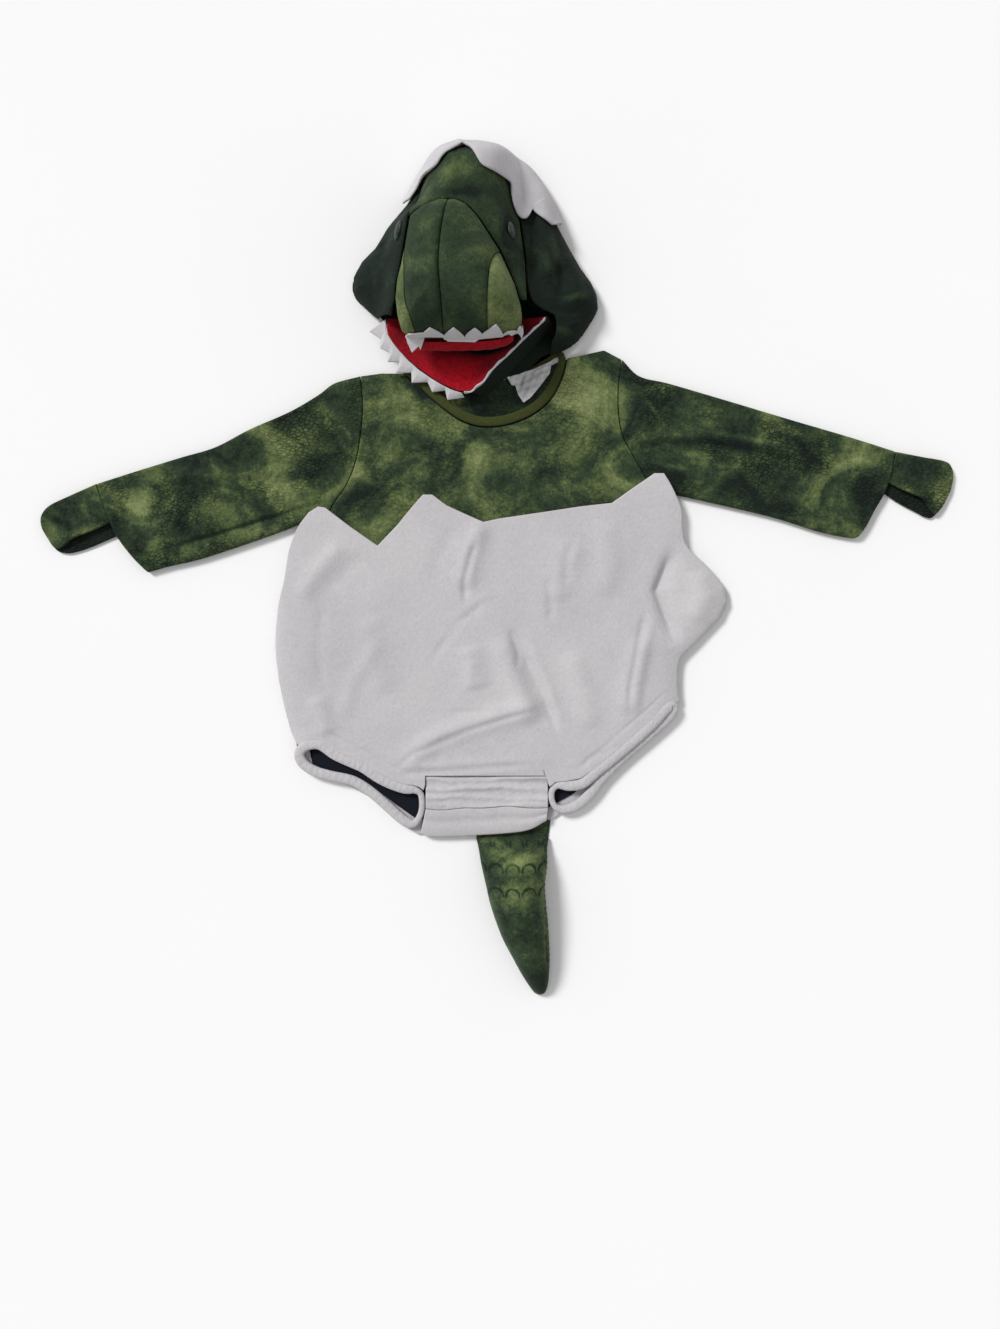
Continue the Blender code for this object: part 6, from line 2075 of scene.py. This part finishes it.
    def lip(self, x: Array, y: Array) -> Array:
        """The snout's front wall, carried on a little below its edge.

        Args:
            x, y: Where to measure.

        Returns:
            The height.
        """
        away, _ = line_distance(x, y, self.hood.snout_outline, closed=True)
        outside = depth_inside(x, y, self.hood.snout_outline) <= 0.0
        return self.top(x, y) + np.where(outside, -0.8 * away, 0.0)


@dataclass
class Jaw:
    """The lower jaw: its red lining, green outside and felt teeth."""

    wardrobe: Wardrobe
    sections: Line = (
        # left x, y, z, middle x, y, z, right x, y, z, foot x, y
        (-91, 208, 15.0, -31, 208, 12.0, 42, 205, 31.0, 47.5, 204),
        (-91, 195, 15.0, -31, 196, 11.6, 23, 188, 29.0, 33.5, 188),
        (-80, 180, 15.0, -32, 181, 11.6, 9, 174, 29.5, 19, 172.5),
        (-64, 165.5, 15.0, -31, 167, 12.0, -3, 163, 28.5, 7, 160),
        (-46, 153.5, 16.0, -28, 154.5, 13.4, -12, 152, 25.5, -4, 149.5),
        (-32, 147, 16.4, -26, 147, 15.2, -20, 147.5, 19.0, -14, 144.5),
    )
    lining: float = 1.4
    bottom: float = 6.4
    rows: int = 130
    lower_foot: Line = (
        (-92.5, 207.5), (-92.5, 197), (-87, 188), (-81, 180.5), (-74, 173), (-65, 165), (-55, 158),
        (-46, 152.5), (-38, 148.5), (-29, 145.5))
    lower_tips: Line = (
        (-107, 198.2), (-97, 191.3), (-98, 184.2), (-90, 180.1), (-91.6, 172.6), (-81.7, 172.4), (-84.7, 163),
        (-71.6, 163.4), (-71.4, 154.9), (-58, 155.5), (-54, 147.1), (-43.2, 148.5), (-41.3, 140.5),
        (-27, 142.6))
    round_tip: Line = ((-20, 147, 19.0), (-23.2, 145.9, 17.8), (-27.2, 145.4, 17.0))
    rumples: Sequence[Fold] = (
        Fold(((-80, 196), (-52, 180), (-34, 160)), 6.0, 0.9),
        Fold(((-64, 200), (-30, 188), (0, 190)), 5.0, 0.8),
        Fold(((-20, 180), (-16, 166), (-20, 154)), 3.0, -0.6),
        Fold(((-50, 172), (-38, 160)), 3.0, -0.5),
    )
    # Painted shade inside the mouth: under the snout, along the palate and behind the hood, and a lighter
    # patch towards the jaw's tip
    mouth_shade_and_light: Sequence[Spot] = (
        Spot(14, 203, 22, 8, -0.95, 42), Spot(8, 188, 32, 7, -0.80, 24), Spot(-20, 181, 42, 4.2, -0.80, 3),
        Spot(-82, 200, 8, 16, -0.40), Spot(-20, 191, 46, 6, -0.45), Spot(-8, 166, 12, 5, -0.35, 50),
        Spot(-30, 160, 18, 12, 0.70))

    def __post_init__(self) -> None:
        """Work out the smooth lines along the jaw."""
        at = shares(self.rows, 80.0)
        self.left, self.middle, self.right, self.foot = (
            smooth([row[a:b] for row in self.sections], at) for a, b in ((0, 3), (3, 6), (6, 9), (9, 11)))

    def inside(self, drop: float) -> Array:
        """The lining's upper side, lowered by drop: a shallow trough from rim to rim.

        Args:
            drop: How far it is lowered.

        Returns:
            Its grid.
        """
        columns = []
        for t in shares(40, 45.0)[:-1]:
            height = self.middle[:, 2] + (self.left[:, 2] - self.middle[:, 2]) * (1 - t) ** 3
            columns.append(np.column_stack([self.left[:, :2] * (1 - t) + self.middle[:, :2] * t, height]))
        for t in 1.0 - shares(50, 45.0)[::-1]:
            height = self.middle[:, 2] + (self.right[:, 2] - self.middle[:, 2]) * t**2.4
            columns.append(np.column_stack([self.middle[:, :2] * (1 - t) + self.right[:, :2] * t, height]))
        grid = np.stack(columns, axis=1)
        grid[..., 2] -= drop
        return grid

    def build(self) -> None:
        """Make and dress every piece."""
        top = self.inside(0.0)
        _, _, rim = lengths_along(top)
        top[..., 2] += folds(top[..., 0], top[..., 1], self.rumples) * soft_step(rim / 8.0)
        low = self.inside(self.lining)
        low[..., 2] += 0.6 * folds(low[..., 0], low[..., 1], self.rumples) * soft_step(rim / 8.0)
        half = 0.5 * (top - low)
        thing = two_sided("jaw_lining", 0.5 * (top + low), half, 1.0)
        dye_and_painted_light(thing, self.mouth_shade_and_light)
        lay(dress(thing, self.wardrobe.red))
        top = self.inside(self.lining + SEAM)[:, ::3]
        side = np.stack([
            np.column_stack([self.right[:, :2] * (1 - t) + self.foot * t,
                             8.0 + (self.right[:, 2] - 2.2 - 8.0) * (1 - t**1.5)]) for t in np.linspace(
                                 0.06, 1.0, 24)], axis=1)
        top = np.concatenate([top, side], axis=1)
        low = top.copy()
        low[..., 2] = self.bottom
        thing = dye_and_painted_light(between("jaw_outer", top, low, 3), (), -0.12)
        dress(thing, self.wardrobe.hood)
        self._teeth()

    def _teeth(self) -> None:
        """Felt teeth: flat outwards on the left rim, upright on the right one."""
        u, v = shares(220, 110.0, edge=0.8), shares(26, 12.0, edge=0.8)
        plan = strip(cornered(self.lower_foot, u), cornered(self.lower_tips, u), v)
        depth = v[None, :] + 0.0 * plan[..., 0]
        under = 13.4 - 4.2 * depth**1.3 + 0.25 * ripple(plan[..., 0], plan[..., 1], 14.0, 0.2)
        thing = lying_cloth("lower_teeth", plan, under, 1.6, 0.8)
        lay(dress(thing, self.wardrobe.felt))
        rows = smooth([*self.right[6:-4:6], *self.round_tip], 150)
        ahead = np.gradient(rows[:, :2], axis=0)
        side = np.column_stack([-ahead[:, 1], ahead[:, 0]]) / np.linalg.norm(ahead, axis=1)[:, None]
        turn = np.abs((np.arange(len(rows)) * 14.0 / len(rows)) % 2.0 - 1.0)
        tip = 1.2 + 4.6 * turn
        grid = np.stack([np.column_stack([rows[:, :2] + 0.9 * side, rows[:, 2] + 0.5 + tip * t])
                         for t in np.linspace(0.0, 1.0, 12)], axis=1)
        half = np.zeros_like(grid)
        half[..., :2] = 0.75 * side[:, None]
        thing = two_sided("lower_teeth_right", grid, half, 0.5)
        lay(dress(thing, self.wardrobe.felt))


@dataclass
class Studio:
    """Pale floor, soft light and the camera straight above."""

    wardrobe: Wardrobe
    height: float = 1.0
    aim: tuple = (0.002975, -0.082)
    across: float = 1.12965
    sun: float = 2.45
    tilt: float = 48.0
    turn: float = 40.0
    softness: float = 16.0
    world: float = 0.51
    sensor: float = 36.0
    floor_size: float = 60.0
    floor_drop: float = 0.0004

    def build(self) -> None:
        """Place the floor, the lights and the camera."""
        bpy.ops.mesh.primitive_plane_add(size=self.floor_size, location=(0.0, 0.0, -self.floor_drop))
        floor = bpy.context.object
        floor.name = "floor"
        floor.data.materials.append(self.wardrobe.floor)
        data = bpy.data.lights.new("key", "SUN")
        data.energy, data.angle = self.sun, math.radians(self.softness)
        lamp = bpy.data.objects.new("key", data)
        lamp.rotation_euler = (0.0, -math.radians(self.tilt), math.radians(-self.turn))
        bpy.context.scene.collection.objects.link(lamp)
        sky = bpy.data.worlds.new("studio")
        sky.use_nodes = True
        sky.node_tree.nodes["Background"].inputs["Color"].default_value = (1.0, 1.0, 1.0, 1.0)
        sky.node_tree.nodes["Background"].inputs["Strength"].default_value = self.world
        bpy.context.scene.world = sky
        bpy.context.scene.view_settings.view_transform = "Standard"
        lens = bpy.data.cameras.new("camera")
        lens.sensor_width = self.sensor
        lens.lens = self.sensor * self.height / self.across
        camera = bpy.data.objects.new("camera", lens)
        camera.location = (self.aim[0] + TO_MIDDLE[0] * MM, self.aim[1] + TO_MIDDLE[1] * MM, self.height)
        bpy.context.scene.collection.objects.link(camera)
        bpy.context.scene.camera = camera


def main() -> None:
    """Build the costume and its studio in order."""
    logging.basicConfig(level=logging.INFO, format="%(name)s: %(message)s")
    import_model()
    wardrobe = Wardrobe()
    hood = Hood(wardrobe)
    for part in (Studio(wardrobe), Romper(wardrobe), Tail(wardrobe), Top(wardrobe), hood,
                 Snout(wardrobe, hood), Jaw(wardrobe)):
        LOG.info("building the %s", type(part).__name__.lower())
        part.build()


if __name__ == "__main__":
    main()
